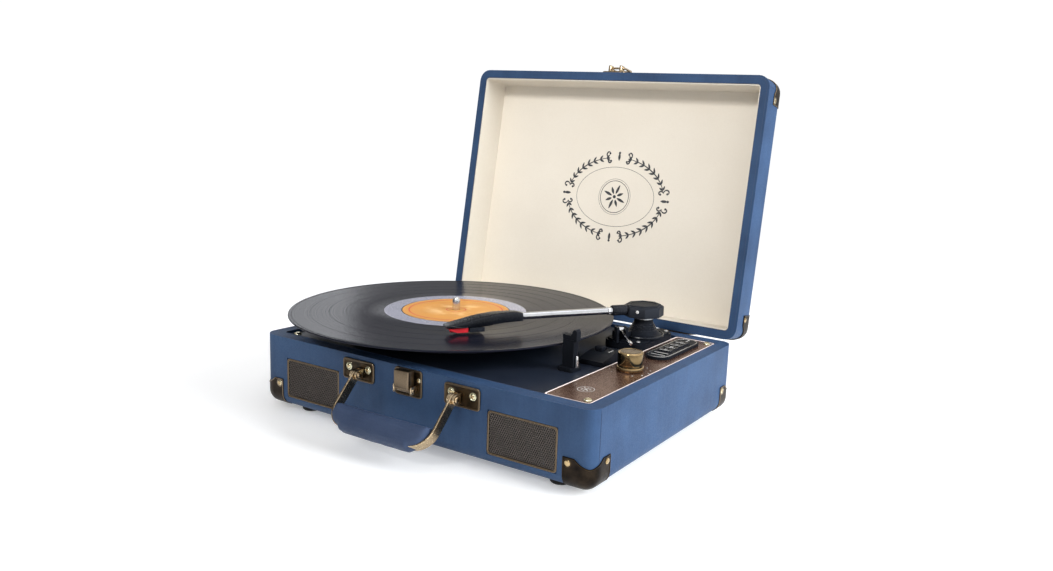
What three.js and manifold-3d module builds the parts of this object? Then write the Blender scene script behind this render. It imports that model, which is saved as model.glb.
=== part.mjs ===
// Suitcase record player with the lid open. Millimetres, +Z up, front of the case facing -Y.
import * as THREE from "three";
import { mergeVertices } from "three/addons/utils/BufferGeometryUtils.js";
import { RoundedBoxGeometry } from "three/addons/geometries/RoundedBoxGeometry.js";
import Module from "manifold-3d";

const wasm = await Module();
wasm.setup();

// Clearance between a piece and its neighbour.
const GAP = 0.3;

// Case body.
const CASE_W = 350;
const CASE_D = 258;
const CASE_BOTTOM = 8;
const FLOOR_Z = 3;
const FOOT_X = 136;
const FOOT_Y = 108;
const RIM_Z = 72;
const EDGE_R = 12;
const WALL = 9;
const FLOOR_T = 6;
const RIM_W = 12;
const LEDGE_W = 19;
const LEDGE_Z = 59;
const POCKET_Z = 66;

// Deck plate and the control panel on it.
const DECK_TOP = 69.7;
const PANEL_X0 = 121;
const PANEL_X1 = 162.4;
const PANEL_HALF_Y = 115.8;
const PANEL_TOP = 71.7;

// Turntable: centre, heights and radii.
const SPIN_X = -54.3;
const SPIN_Y = -7.2;
const PLATTER_R = 95;
const PLATTER_TOP = 88;
const DRUM_R = 70;
const RECORD_R = 150.5;
const RECORD_TOP = 91.8;
const LABEL_R = 50;
const SPINDLE_R = 3.6;
const SPINDLE_TOP = 104.5;

// Belt drive.
const MOTOR_DIST = 80;
const MOTOR_ANGLE = 135;
const PULLEY_R = 4;
const BELT_T = 0.8;

// Tonearm: pivot, arm height, direction in plan, and distances along the arm.
const ARM_X = 104;
const ARM_Y = 76;
const ARM_Z = 104.5;
const ARM_TILT_Z = 100;
const ARM_ANGLE = -122.54;
const ARM_PARKED = 30.1;
const TUBE_R = 3.2;
const TUBE_START = 22;
const TUBE_END = 131;
const HEAD_END = 193;
const STYLUS_AT = 180;
const REST_AT = 120.6;

// Volume knob and the media module.
const KNOB_X = 142;
const KNOB_Y = -17.5;
const KNOB_R = 11;
const MODULE_Y = 64;
const MODULE_L = 80;
const MODULE_W = 24;
const BUTTON_Y = [50, 61, 72, 83];

// Lid: closed it sits on the rim; it stands open at LID_OPEN about the hinge line.
const LID_Z0 = 72.6;
const LID_H = 40;
const LID_WALL = 8.5;
const LID_PANEL_T = 3;
const LINING_T = 1.2;
const HINGE_Y = 131.05;
const HINGE_Z = 70.75;
const LID_OPEN = 99.2;
const HINGE_X = 110;

// Front fittings.
const FRONT_Y = -CASE_D / 2;
const PLATE_T = 1.5;
const GRILLE_X = 112.25;
const GRILLE_Z = 35.75;
const GRILLE_W = 64.5;
const GRILLE_H = 35.5;
const BRACKET_X = 55.5;
const BRACKET_Z = 59.3;
const STRAP_X = 52;
const HANDLE_Y = -136;
const HANDLE_Z = 58;
const HANDLE_DROP = 45.5;
const HANDLE_TILT = 42;

// The four corners of the case: name, side in X, side in Y.
const CORNERS = [
  ["front_left", -1, -1],
  ["front_right", 1, -1],
  ["back_left", -1, 1],
  ["back_right", 1, 1],
];

const rad = THREE.MathUtils.degToRad;
const group = new THREE.Group();
group.name = "suitcase_record_player";

// ---------- helpers ----------

function solid(geometry) {
  const g = geometry.index ? geometry.toNonIndexed() : geometry.clone();
  g.deleteAttribute("normal");
  g.deleteAttribute("uv");
  const merged = mergeVertices(g, 1e-4);
  const tris = new Uint32Array(merged.index.array);
  const build = () =>
    new wasm.Manifold(
      new wasm.Mesh({
        numProp: 3,
        vertProperties: merged.attributes.position.array,
        triVerts: tris,
      }),
    );
  let made = build();
  if (made.volume() < 0) {
    for (let i = 0; i < tris.length; i += 3) {
      [tris[i + 1], tris[i + 2]] = [tris[i + 2], tris[i + 1]];
    }
    made = build();
  }
  return made;
}

function toGeometry(manifold) {
  const mesh = manifold.getMesh();
  const points = [];
  for (const v of mesh.triVerts) {
    const at = v * mesh.numProp;
    points.push(mesh.vertProperties[at]);
    points.push(mesh.vertProperties[at + 1]);
    points.push(mesh.vertProperties[at + 2]);
  }
  const g = new THREE.BufferGeometry();
  g.setAttribute("position", new THREE.Float32BufferAttribute(points, 3));
  g.computeVertexNormals();
  return g;
}

function moved(manifold, matrix) {
  return manifold.transform(matrix.elements);
}

function union(list) {
  return list.reduce((a, b) => a.add(b));
}

function box(x0, x1, y0, y1, z0, z1) {
  const g = new THREE.BoxGeometry(x1 - x0, y1 - y0, z1 - z0);
  g.translate((x0 + x1) / 2, (y0 + y1) / 2, (z0 + z1) / 2);
  return solid(g);
}

// Box with every edge rounded.
function softBox(x0, x1, y0, y1, z0, z1, r, segments = 3) {
  const g = new RoundedBoxGeometry(x1 - x0, y1 - y0, z1 - z0, segments, r);
  g.translate((x0 + x1) / 2, (y0 + y1) / 2, (z0 + z1) / 2);
  return solid(g);
}

function roundedRect(x0, x1, y0, y1, r) {
  const s = new THREE.Shape();
  s.moveTo(x0 + r, y0);
  s.lineTo(x1 - r, y0);
  s.absarc(x1 - r, y0 + r, r, -Math.PI / 2, 0, false);
  s.lineTo(x1, y1 - r);
  s.absarc(x1 - r, y1 - r, r, 0, Math.PI / 2, false);
  s.lineTo(x0 + r, y1);
  s.absarc(x0 + r, y1 - r, r, Math.PI / 2, Math.PI, false);
  s.lineTo(x0, y0 + r);
  s.absarc(x0 + r, y0 + r, r, Math.PI, 1.5 * Math.PI, false);
  return s;
}

function polygon(points) {
  return new THREE.Shape(points.map(([x, y]) => new THREE.Vector2(x, y)));
}

// Shape in XY raised from z0 to z1.
function extrude(shape, z0, z1, curveSegments = 6) {
  const g = new THREE.ExtrudeGeometry(shape, {
    depth: z1 - z0,
    bevelEnabled: false,
    curveSegments,
  });
  g.translate(0, 0, z0);
  return solid(g);
}

// Slab with vertical corner radius r.
function slab(x0, x1, y0, y1, z0, z1, r) {
  return extrude(roundedRect(x0, x1, y0, y1, r), z0, z1);
}

// Body of revolution about Z at (x, y); profile is a closed loop of [r, z].
function turned(profile, x, y, segments = 48) {
  const loop = profile.map(([r, z]) => new THREE.Vector2(Math.max(r, 0), z));
  const onAxis = loop[0].x === 0 && loop[loop.length - 1].x === 0;
  if (!onAxis) {
    loop.push(loop[0].clone());
  }
  const g = new THREE.LatheGeometry(loop, segments);
  g.rotateX(Math.PI / 2);
  g.translate(x, y, 0);
  return solid(g);
}

// Cylinder of radius r between two points.
function rod(from, to, r, segments = 24) {
  const a = new THREE.Vector3(...from);
  const b = new THREE.Vector3(...to);
  const length = a.distanceTo(b);
  const g = new THREE.CylinderGeometry(r, r, length, segments);
  const turn = new THREE.Quaternion().setFromUnitVectors(
    new THREE.Vector3(0, 1, 0),
    b.clone().sub(a).normalize(),
  );
  g.applyQuaternion(turn);
  const mid = a.add(b).multiplyScalar(0.5);
  g.translate(mid.x, mid.y, mid.z);
  return solid(g);
}

function rotationAbout(point, axis, degrees) {
  const there = new THREE.Matrix4().makeTranslation(point[0], point[1], point[2]);
  const back = new THREE.Matrix4().makeTranslation(-point[0], -point[1], -point[2]);
  const turn = new THREE.Matrix4().makeRotationAxis(new THREE.Vector3(...axis), rad(degrees));
  return there.multiply(turn).multiply(back);
}

function add(name, manifold, color, roughness, metalness) {
  const material = new THREE.MeshStandardMaterial({ color, roughness, metalness });
  const mesh = new THREE.Mesh(toGeometry(manifold), material);
  mesh.name = name;
  group.add(mesh);
  return mesh;
}

// ---------- finishes ----------

const LEATHER = [0x2f4672, 0.62, 0];
const LINING = [0xe6dcc6, 0.8, 0];
const BRONZE = [0x8a6a3c, 0.38, 0.9];
const BRASS = [0xc9a25a, 0.22, 1];
const CHROME = [0xe6e8ea, 0.12, 1];
const STEEL = [0xb0b3b6, 0.35, 1];
const BLACK = [0x17181b, 0.42, 0];
const DECK = [0x1c222c, 0.5, 0];
const RUBBER = [0x121212, 0.85, 0];

// ---------- case ----------

const halfW = CASE_W / 2;
const halfD = CASE_D / 2;

// Outer form of the case body, grown by `out` on every side.
function caseForm(out) {
  const form = softBox(
    -halfW - out,
    halfW + out,
    -halfD - out,
    halfD + out,
    CASE_BOTTOM - out,
    RIM_Z + 30,
    EDGE_R + out,
    4,
  );
  return form.intersect(box(-400, 400, -400, 400, -50, RIM_Z));
}

let shell = caseForm(0);
shell = shell.subtract(
  slab(-halfW + RIM_W, halfW - RIM_W, -halfD + RIM_W + 0.5, halfD - RIM_W - 0.5, POCKET_Z, RIM_Z + 1, 4),
);
shell = shell.subtract(
  slab(-halfW + LEDGE_W, halfW - LEDGE_W, -halfD + LEDGE_W, halfD - LEDGE_W, LEDGE_Z - 1, POCKET_Z + 1, 4),
);
shell = shell.subtract(
  slab(-halfW + WALL, halfW - WALL, -halfD + WALL, halfD - WALL, CASE_BOTTOM + FLOOR_T, LEDGE_Z, 5),
);
for (const side of [-1, 1]) {
  const x0 = side * GRILLE_X - GRILLE_W / 2;
  const x1 = side * GRILLE_X + GRILLE_W / 2;
  const z0 = GRILLE_Z - GRILLE_H / 2;
  const z1 = GRILLE_Z + GRILLE_H / 2;
  shell = shell.subtract(box(x0 - GAP, x1 + GAP, FRONT_Y - 1, FRONT_Y + 1.3, z0 - GAP, z1 + GAP));
  shell = shell.subtract(box(x0 + 4, x1 - 4, FRONT_Y - 1, FRONT_Y + WALL + 1, z0 + 4, z1 - 4));
}
// Window for the socket plate in the back wall.
shell = shell.subtract(box(-60, 0, halfD - WALL - 1, halfD + 1, 30, 52));
add("case_shell", shell, ...LEATHER);

// Speakers and their perforated grilles.
for (const side of [-1, 1]) {
  const tag = side < 0 ? "left" : "right";
  const x0 = side * GRILLE_X - GRILLE_W / 2;
  const x1 = side * GRILLE_X + GRILLE_W / 2;
  const z0 = GRILLE_Z - GRILLE_H / 2;
  const z1 = GRILLE_Z + GRILLE_H / 2;
  let grille = box(x0, x1, FRONT_Y - 0.2, FRONT_Y + 1, z0, z1);
  grille = grille.subtract(box(x0 + 1.6, x1 - 1.6, FRONT_Y - 1, FRONT_Y + 0.3, z0 + 1.6, z1 - 1.6));
  add(`grille_${tag}`, grille, ...BRONZE);
  const speakerProfile = [
    [0, 5],
    [8, 4.4],
    [17, 1.2],
    [19.5, 0],
    [21.5, 0],
    [21.5, 2],
    [19, 3],
    [13.5, 14],
    [15.5, 14],
    [15.5, 24],
    [0, 24],
  ];
  const speaker = turned(speakerProfile, 0, 0, 24);
  const place = new THREE.Matrix4()
    .makeTranslation(side * GRILLE_X, FRONT_Y + WALL + GAP, GRILLE_Z + 0.5)
    .multiply(new THREE.Matrix4().makeRotationX(-Math.PI / 2));
  add(`speaker_${tag}`, moved(speaker, place), ...BLACK);
}

// Socket plate: two line-out barrels and the power inlet.
let jacks = box(-64, 4, halfD + GAP, halfD + 1.8, 27, 55);
jacks = jacks.add(box(-59.7, -0.3, halfD - 10, halfD + GAP + 0.1, 30.3, 51.7));
for (const x of [-50, -35]) {
  jacks = jacks.add(rod([x, halfD + 1, 41], [x, halfD + 9.5, 41], 4.2));
  jacks = jacks.subtract(rod([x, halfD + 2, 41], [x, halfD + 12, 41], 1.7, 16));
}
jacks = jacks.subtract(rod([-12, halfD - 7, 41], [-12, halfD + 4, 41], 2.8, 20));
jacks = jacks.add(rod([-12, halfD - 8, 41], [-12, halfD - 0.5, 41], 0.9, 12));
add("socket_plate", jacks, ...BLACK);

// Feet.
for (const [tag, sx, sy] of CORNERS) {
  const foot = turned(
    [
      [0, FLOOR_Z],
      [8, FLOOR_Z],
      [9, FLOOR_Z + 1],
      [9.5, CASE_BOTTOM - GAP],
      [0, CASE_BOTTOM - GAP],
    ],
    sx * FOOT_X,
    sy * FOOT_Y,
    24,
  );
  add(`foot_${tag}`, foot, ...RUBBER);
}

// Pressed corner guards, one per lower corner of the body.
for (const [tag, sx, sy] of CORNERS) {
  let guard = caseForm(1.4).subtract(caseForm(0.25));
  const x0 = sx > 0 ? halfW - 26 : -halfW - 5;
  const y0 = sy > 0 ? halfD - 26 : -halfD - 5;
  guard = guard.intersect(box(x0, x0 + 31, y0, y0 + 31, 0, CASE_BOTTOM + 18));
  add(`guard_base_${tag}`, guard, ...BRONZE);
}

// ---------- deck ----------

const motorX = SPIN_X + MOTOR_DIST * Math.cos(rad(MOTOR_ANGLE));
const motorY = SPIN_Y + MOTOR_DIST * Math.sin(rad(MOTOR_ANGLE));

let deck = slab(
  -halfW + RIM_W + GAP,
  halfW - RIM_W - GAP,
  -halfD + RIM_W + 0.5 + GAP,
  halfD - RIM_W - 0.5 - GAP,
  POCKET_Z + GAP,
  DECK_TOP,
  3.7,
);
// Bearing boss for the spindle, moulded with the deck.
const bearing = turned(
  [
    [0, 50],
    [8, 50],
    [8, 67],
    [14, 67],
    [14, 72],
    [0, 72],
  ],
  SPIN_X,
  SPIN_Y,
  32,
);
deck = deck.add(bearing).subtract(rod([SPIN_X, SPIN_Y, 51.7], [SPIN_X, SPIN_Y, 80], SPINDLE_R + 0.2, 32));
deck = deck.subtract(rod([motorX, motorY, 60], [motorX, motorY, 80], 6.5));
deck = deck.subtract(rod([KNOB_X, KNOB_Y, 60], [KNOB_X, KNOB_Y, 80], 4.5));
const moduleX0 = KNOB_X - MODULE_W / 2;
const moduleX1 = KNOB_X + MODULE_W / 2;
const moduleY0 = MODULE_Y - MODULE_L / 2;
const moduleY1 = MODULE_Y + MODULE_L / 2;
const moduleHole = slab(moduleX0 + 2, moduleX1 - 2, moduleY0 + 3, moduleY1 - 3, 55, 80, 9.5);
deck = deck.subtract(moduleHole);
add("deck_plate", deck, ...DECK);

let panel = slab(PANEL_X0, PANEL_X1, -PANEL_HALF_Y, PANEL_HALF_Y, DECK_TOP + GAP, PANEL_TOP, 3.5);
panel = panel.subtract(rod([KNOB_X, KNOB_Y, 60], [KNOB_X, KNOB_Y, 80], 4.5));
panel = panel.subtract(moduleHole);
add("control_panel", panel, 0x4a3028, 0.18, 0.6);

// Volume knob with its shaft.
const knob = turned(
  [
    [0, 62.6],
    [3, 62.6],
    [3, PANEL_TOP + GAP],
    [KNOB_R + 0.8, PANEL_TOP + GAP],
    [KNOB_R + 0.8, 75.6],
    [KNOB_R, 76.2],
    [KNOB_R - 0.6, 76.3],
    [KNOB_R - 0.6, 77],
    [KNOB_R, 77.1],
    [KNOB_R, 87.2],
    [KNOB_R - 0.9, 88],
    [0, 88],
  ],
  KNOB_X,
  KNOB_Y,
  36,
);
const knobMark = box(KNOB_X - 0.4, KNOB_X + 0.4, KNOB_Y + 5, KNOB_Y + 12, 87.4, 89);
add("volume_knob", knob.subtract(knobMark), ...BRASS);

// Control board hung under the deck, with the volume control on it.
let board = box(124, 159, -42, 16, 53.5, 55.1);
board = board.add(box(KNOB_X - 8, KNOB_X + 8, KNOB_Y - 8, KNOB_Y + 8, 55, 62.2));
board = board.add(rod([130, 10, 55], [130, 10, POCKET_Z], 2.5, 16));
board = board.add(rod([130, -38, 55], [130, -38, POCKET_Z], 2.5, 16));
add("control_board", board, 0x1f5a33, 0.5, 0);

// Media module: a long pill with a row of push buttons and a socket at the front end.
const pillR = MODULE_W / 2 - 0.2;
let module = slab(moduleX0, moduleX1, moduleY0, moduleY1, PANEL_TOP + GAP, 74.4, pillR);
module = module.add(
  slab(moduleX0 + 2.3, moduleX1 - 2.3, moduleY0 + 3.3, moduleY1 - 3.3, 58, PANEL_TOP + GAP + 0.1, 9.2),
);
for (const y of BUTTON_Y) {
  module = module.subtract(box(KNOB_X - 6.8, KNOB_X + 6.8, y - 4.3, y + 4.3, 70, 80));
}
module = module.subtract(box(KNOB_X - 6.7, KNOB_X + 6.7, 34.3, 39.9, 63, 80));
add("media_module", module, ...BLACK);
BUTTON_Y.forEach((y, i) => {
  const button = softBox(KNOB_X - 6.4, KNOB_X + 6.4, y - 3.9, y + 3.9, 71.2, 76, 0.7, 2);
  add(`button_${i + 1}`, button, 0x26282c, 0.35, 0);
});

// ---------- turntable ----------

const spindle = turned(
  [
    [0, 52],
    [SPINDLE_R, 52],
    [SPINDLE_R, SPINDLE_TOP - 4],
    [SPINDLE_R - 0.8, SPINDLE_TOP - 1.4],
    [SPINDLE_R - 2, SPINDLE_TOP - 0.3],
    [0, SPINDLE_TOP],
  ],
  SPIN_X,
  SPIN_Y,
  32,
);
add("spindle", spindle, ...CHROME);

const holeR = SPINDLE_R + GAP;
const platter = turned(
  [
    [holeR, 75],
    [12, 75],
    [12, 85],
    [DRUM_R - 4, 85],
    [DRUM_R - 4, 75],
    [DRUM_R, 75],
    [DRUM_R, 85],
    [PLATTER_R - 3, 85],
    [PLATTER_R - 3, 74],
    [PLATTER_R, 74],
    [PLATTER_R, PLATTER_TOP - 1.5],
    [PLATTER_R - 1.5, PLATTER_TOP],
    [holeR, PLATTER_TOP],
  ],
  SPIN_X,
  SPIN_Y,
  64,
);
add("platter", platter, ...BLACK);

const mat = turned(
  [
    [holeR, PLATTER_TOP + GAP],
    [92, PLATTER_TOP + GAP],
    [92, 89.8],
    [holeR, 89.8],
  ],
  SPIN_X,
  SPIN_Y,
  64,
);
add("platter_mat", mat, ...RUBBER);

const record = turned(
  [
    [holeR, 90.1],
    [RECORD_R - 0.7, 90.1],
    [RECORD_R, 90.7],
    [RECORD_R, RECORD_TOP - 0.6],
    [RECORD_R - 0.7, RECORD_TOP],
    [LABEL_R + GAP, RECORD_TOP],
    [LABEL_R + GAP, RECORD_TOP - 0.6],
    [holeR, RECORD_TOP - 0.6],
  ],
  SPIN_X,
  SPIN_Y,
  96,
);
add("record", record, 0x0c0d12, 0.2, 0);

const label = turned(
  [
    [holeR, RECORD_TOP - GAP],
    [LABEL_R, RECORD_TOP - GAP],
    [LABEL_R, RECORD_TOP + 0.1],
    [holeR, RECORD_TOP + 0.1],
  ],
  SPIN_X,
  SPIN_Y,
  64,
);
add("record_label", label, 0xe59a3c, 0.6, 0);

const motor = turned(
  [
    [0, 40],
    [14, 40],
    [14, POCKET_Z],
    [1.6, POCKET_Z],
    [1.6, 61.5],
    [0, 61.5],
  ],
  motorX,
  motorY,
  32,
);
add("motor", motor, ...STEEL);

const pulley = turned(
  [
    [0, 62],
    [1.2, 62],
    [1.2, 76],
    [PULLEY_R + 1, 76],
    [PULLEY_R + 1, 77.4],
    [PULLEY_R, 77.9],
    [PULLEY_R, 82.1],
    [PULLEY_R + 1, 82.6],
    [PULLEY_R + 1, 84],
    [0, 84],
  ],
  motorX,
  motorY,
  24,
);
add("motor_pulley", pulley, ...BRASS);

// Belt: the tangent loop round the drum and the pulley.
function beltLoop(extra) {
  const big = DRUM_R + GAP + extra;
  const small = PULLEY_R + GAP + extra;
  const half = Math.acos((big - small) / MOTOR_DIST);
  const points = [];
  const steps = 44;
  for (let i = 0; i <= steps; i++) {
    const a = half + ((2 * Math.PI - 2 * half) * i) / steps;
    points.push([big * Math.cos(a), big * Math.sin(a)]);
  }
  for (let i = 0; i <= 12; i++) {
    const a = -half + (2 * half * i) / 12;
    points.push([MOTOR_DIST + small * Math.cos(a), small * Math.sin(a)]);
  }
  return points;
}
let belt = extrude(polygon(beltLoop(BELT_T)), 78.2, 81.8);
belt = belt.subtract(extrude(polygon(beltLoop(0)), 70, 90));
const beltPlace = new THREE.Matrix4()
  .makeTranslation(SPIN_X, SPIN_Y, 0)
  .multiply(new THREE.Matrix4().makeRotationZ(rad(MOTOR_ANGLE)));
add("drive_belt", moved(belt, beltPlace), ...RUBBER);

// ---------- tonearm ----------

// Arm frame: X along the arm from the pivot axis, Y across it, Z up.
const armPlace = new THREE.Matrix4()
  .makeTranslation(ARM_X, ARM_Y, 0)
  .multiply(new THREE.Matrix4().makeRotationZ(rad(ARM_ANGLE)));

// Plinth and pedestal with the upright post and the cue lever's ears.
let plinth = slab(79, 120.4, 42, 112, DECK_TOP + GAP, 76.4, 10);
plinth = plinth.add(slab(81, 118.4, 44, 110, 76, 78, 9));
plinth = plinth.add(
  turned(
    [
      [0, 77],
      [19, 77],
      [19, 79.6],
      [16.5, 80.4],
      [13, 84],
      [10.2, 88],
      [9, 91.5],
      [9, 94],
      [3, 94],
      [3, 98],
      [0, 98],
    ],
    ARM_X,
    ARM_Y,
    32,
  ),
);
const cueRoot = [95, 48, 87];
const cueTip = [119, 25, 81.5];
const cueAcross = new THREE.Vector3(cueTip[1] - cueRoot[1], cueRoot[0] - cueTip[0], 0).normalize();
function alongCue(s) {
  return [cueRoot[0] + cueAcross.x * s, cueRoot[1] + cueAcross.y * s, cueRoot[2]];
}
plinth = plinth.add(slab(84, 100, 50, 62, 77, 84, 3));
for (const s of [-4.3, 4.3]) {
  const [ex, ey] = alongCue(s);
  const ear = new THREE.BoxGeometry(2.2, 9, 14);
  ear.translate(0, 2.6, 0);
  ear.rotateZ(Math.atan2(cueAcross.y, cueAcross.x));
  ear.translate(ex, ey, 83);
  plinth = plinth.add(solid(ear));
}
plinth = plinth.add(rod(alongCue(-4.5), alongCue(4.5), 0.9, 16));
add("tonearm_plinth", plinth, ...BLACK);

// Cue lever: barrel on the pin and a thin rod.
let cue = rod(alongCue(-2.8), alongCue(2.8), 2.4, 20);
cue = cue.add(rod(cueRoot, cueTip, 1.1, 12));
cue = cue.subtract(rod(alongCue(-4), alongCue(4), 1.2, 16));
add("cue_lever", cue, ...STEEL);

// Yoke turning on the post, with two ears for the tilt pins.
let yoke = turned(
  [
    [3.3, 94.3],
    [9.5, 94.3],
    [9.5, 96.4],
    [6, 96.6],
    [6, 98.6],
    [3.3, 98.6],
  ],
  0,
  0,
  24,
);
for (const side of [-1, 1]) {
  yoke = yoke.add(box(-2.6, 2.6, side > 0 ? 7 : -9.3, side > 0 ? 9.3 : -7, 96, 102.4));
}
yoke = yoke.subtract(rod([0, -12, ARM_TILT_Z], [0, 12, ARM_TILT_Z], 1.5, 16));
add("tonearm_yoke", moved(yoke, armPlace), ...BLACK);

// Octagonal pivot cap with the collar that holds the tube.
const capPoints = [];
for (let i = 0; i < 8; i++) {
  const a = rad(22.5 + 45 * i);
  capPoints.push([1 + 20 * Math.cos(a), 18 * Math.sin(a)]);
}
let cap = extrude(polygon(capPoints), 97, 107.2);
const capTop = polygon(capPoints.map(([x, y]) => [1 + (x - 1) * 0.9, y * 0.9]));
cap = cap.add(extrude(capTop, 107, 108.4));
cap = cap.subtract(turned([[0, 90], [12, 90], [12, 104.4], [0, 104.4]], 0, 0, 32));
for (const side of [-1, 1]) {
  cap = cap.add(rod([0, side * 7.4, ARM_TILT_Z], [0, side * 13, ARM_TILT_Z], 1.2, 16));
}
cap = cap.add(rod([15, 0, ARM_Z - 1], [35, 0, ARM_Z - 1], 4.9, 24));
cap = cap.subtract(rod([TUBE_START - GAP, 0, ARM_Z - 1], [40, 0, ARM_Z - 1], TUBE_R + GAP, 24));
add("tonearm_cap", moved(cap, armPlace), ...BLACK);

const tube = rod([TUBE_START, 0, ARM_Z - 1], [TUBE_END, 0, ARM_Z - 1], TUBE_R, 24);
add("tonearm_tube", moved(tube, armPlace), ...CHROME);

// Headshell: a side profile drawn along the arm, narrowed in plan towards the tube.
const headSide = extrude(
  polygon([
    [124, 99.6],
    [124, 107],
    [130, 108.6],
    [150, 108.2],
    [168, 105.6],
    [HEAD_END, 99.8],
    [HEAD_END, 97.6],
    [158, 97.6],
    [146, 99.6],
  ]),
  -9,
  9,
);
const upright = new THREE.Matrix4().makeRotationX(Math.PI / 2);
const headPlan = extrude(
  polygon([
    [123, -4.8],
    [132, -5],
    [152, -8.5],
    [184, -8.5],
    [194, -6],
    [194, 6],
    [184, 8.5],
    [152, 8.5],
    [132, 5],
    [123, 4.8],
  ]),
  80,
  120,
);
let head = moved(headSide, upright).intersect(headPlan);
head = head.subtract(rod([120, 0, ARM_Z - 1], [TUBE_END + GAP, 0, ARM_Z - 1], TUBE_R + GAP, 24));
add("headshell", moved(head, armPlace), ...BLACK);

// Cartridge body and the red stylus block in front of it.
const cartridge = box(160, 173.7, -7.2, 7.2, 93.4, 97.3);
add("cartridge", moved(cartridge, armPlace), ...BLACK);
let stylus = moved(
  extrude(
    polygon([
      [174, 97.3],
      [191, 97.3],
      [191, 95.6],
      [184, 93],
      [174, 93],
    ]),
    -6,
    6,
  ),
  upright,
);
stylus = stylus.add(turned([[0, 92.15], [0.4, 92.6], [0.9, 93.4], [0, 93.4]], STYLUS_AT, 0, 12));
add("stylus", moved(stylus, armPlace), 0xc4141f, 0.35, 0);

// Arm rest: foot, post and cradle, placed where the parked arm lies.
const restPlace = new THREE.Matrix4()
  .makeTranslation(ARM_X, ARM_Y, 0)
  .multiply(new THREE.Matrix4().makeRotationZ(rad(ARM_ANGLE + ARM_PARKED)))
  .multiply(new THREE.Matrix4().makeTranslation(REST_AT, 0, 0));
const tubeLow = ARM_Z - 1 - TUBE_R;
let rest = slab(-7.5, 7.5, -8, 8, DECK_TOP + GAP, 73, 3);
rest = rest.add(extrude(polygon([[-3.5, -5], [3.5, -5], [3.5, 6], [-3.5, 6]]), 72.5, tubeLow - 4));
// Hook profile across the arm: an open cradle with a taller outer horn.
const hook = extrude(
  polygon([
    [-5.2, tubeLow - 5],
    [8.2, tubeLow - 5],
    [8.2, tubeLow + 3.4],
    [6.8, tubeLow + 5],
    [5.2, tubeLow + 5],
    [TUBE_R + 0.7, tubeLow + 3.2],
    [TUBE_R + 0.4, tubeLow + 1.6],
    [2, tubeLow - GAP],
    [-3.4, tubeLow - GAP],
    [-4.6, tubeLow + 0.2],
    [-5.8, tubeLow - 0.8],
  ]),
  -3,
  3,
);
rest = rest.add(
  moved(
    hook,
    new THREE.Matrix4().makeBasis(
      new THREE.Vector3(0, 1, 0),
      new THREE.Vector3(0, 0, 1),
      new THREE.Vector3(1, 0, 0),
    ),
  ),
);
add("arm_rest", moved(rest, restPlace), ...BLACK);

// Speed switch: wedge housing with a sliding tab.
let speedBlock = moved(
  extrude(
    polygon([
      [-22, DECK_TOP + GAP],
      [12, DECK_TOP + GAP],
      [12, 78],
      [-2, 78],
      [-22, 74],
    ]),
    -13,
    12,
  ),
  new THREE.Matrix4().makeBasis(
    new THREE.Vector3(0, 1, 0),
    new THREE.Vector3(0, 0, 1),
    new THREE.Vector3(1, 0, 0),
  ),
);
speedBlock = moved(speedBlock, new THREE.Matrix4().makeTranslation(106, 0, 0));
speedBlock = speedBlock.subtract(box(99, 105, -3, 10, 73, 90));
add("speed_switch_housing", speedBlock, ...BLACK);
const tab = box(99.4, 104.6, -2.6, 3.2, 73.3, 78.3).add(softBox(98.2, 105.8, -3.2, 3.8, 78.3, 82, 0.8, 2));
add("speed_switch_tab", tab, ...BLACK);

// ---------- lid ----------

const openLid = rotationAbout([0, HINGE_Y, HINGE_Z], [-1, 0, 0], LID_OPEN);

// Outer form of the closed lid, grown by `out`.
function lidForm(out) {
  const form = softBox(
    -halfW - out,
    halfW + out,
    -halfD - out,
    halfD + out,
    LID_Z0 - 30,
    LID_Z0 + LID_H + out,
    EDGE_R + out,
    4,
  );
  return form.intersect(box(-400, 400, -400, 400, LID_Z0, 300));
}

const lidIn = LID_WALL;
let lid = lidForm(0);
lid = lid.subtract(
  slab(
    -halfW + lidIn,
    halfW - lidIn,
    -halfD + lidIn,
    halfD - lidIn,
    LID_Z0 - 1,
    LID_Z0 + LID_H - LID_PANEL_T,
    4,
  ),
);
add("lid_shell", moved(lid, openLid), ...LEATHER);

const liningOut = lidIn + GAP;
const liningIn = liningOut + LINING_T;
let lining = slab(
  -halfW + liningOut,
  halfW - liningOut,
  -halfD + liningOut,
  halfD - liningOut,
  LID_Z0 + 0.5,
  LID_Z0 + LID_H - LID_PANEL_T - GAP,
  3.7,
);
lining = lining.subtract(
  slab(
    -halfW + liningIn,
    halfW - liningIn,
    -halfD + liningIn,
    halfD - liningIn,
    LID_Z0 - 1,
    LID_Z0 + LID_H - LID_PANEL_T - GAP - LINING_T,
    2.5,
  ),
);
add("lid_lining", moved(lining, openLid), ...LINING);

for (const [tag, sx, sy] of CORNERS) {
  let guard = lidForm(1.4).subtract(lidForm(0.25));
  const x0 = sx > 0 ? halfW - 26 : -halfW - 5;
  const y0 = sy > 0 ? halfD - 26 : -halfD - 5;
  guard = guard.intersect(box(x0, x0 + 31, y0, y0 + 31, LID_Z0 + LID_H - 26, 300));
  add(`guard_lid_${tag}`, moved(guard, openLid), ...BRONZE);
}

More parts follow.
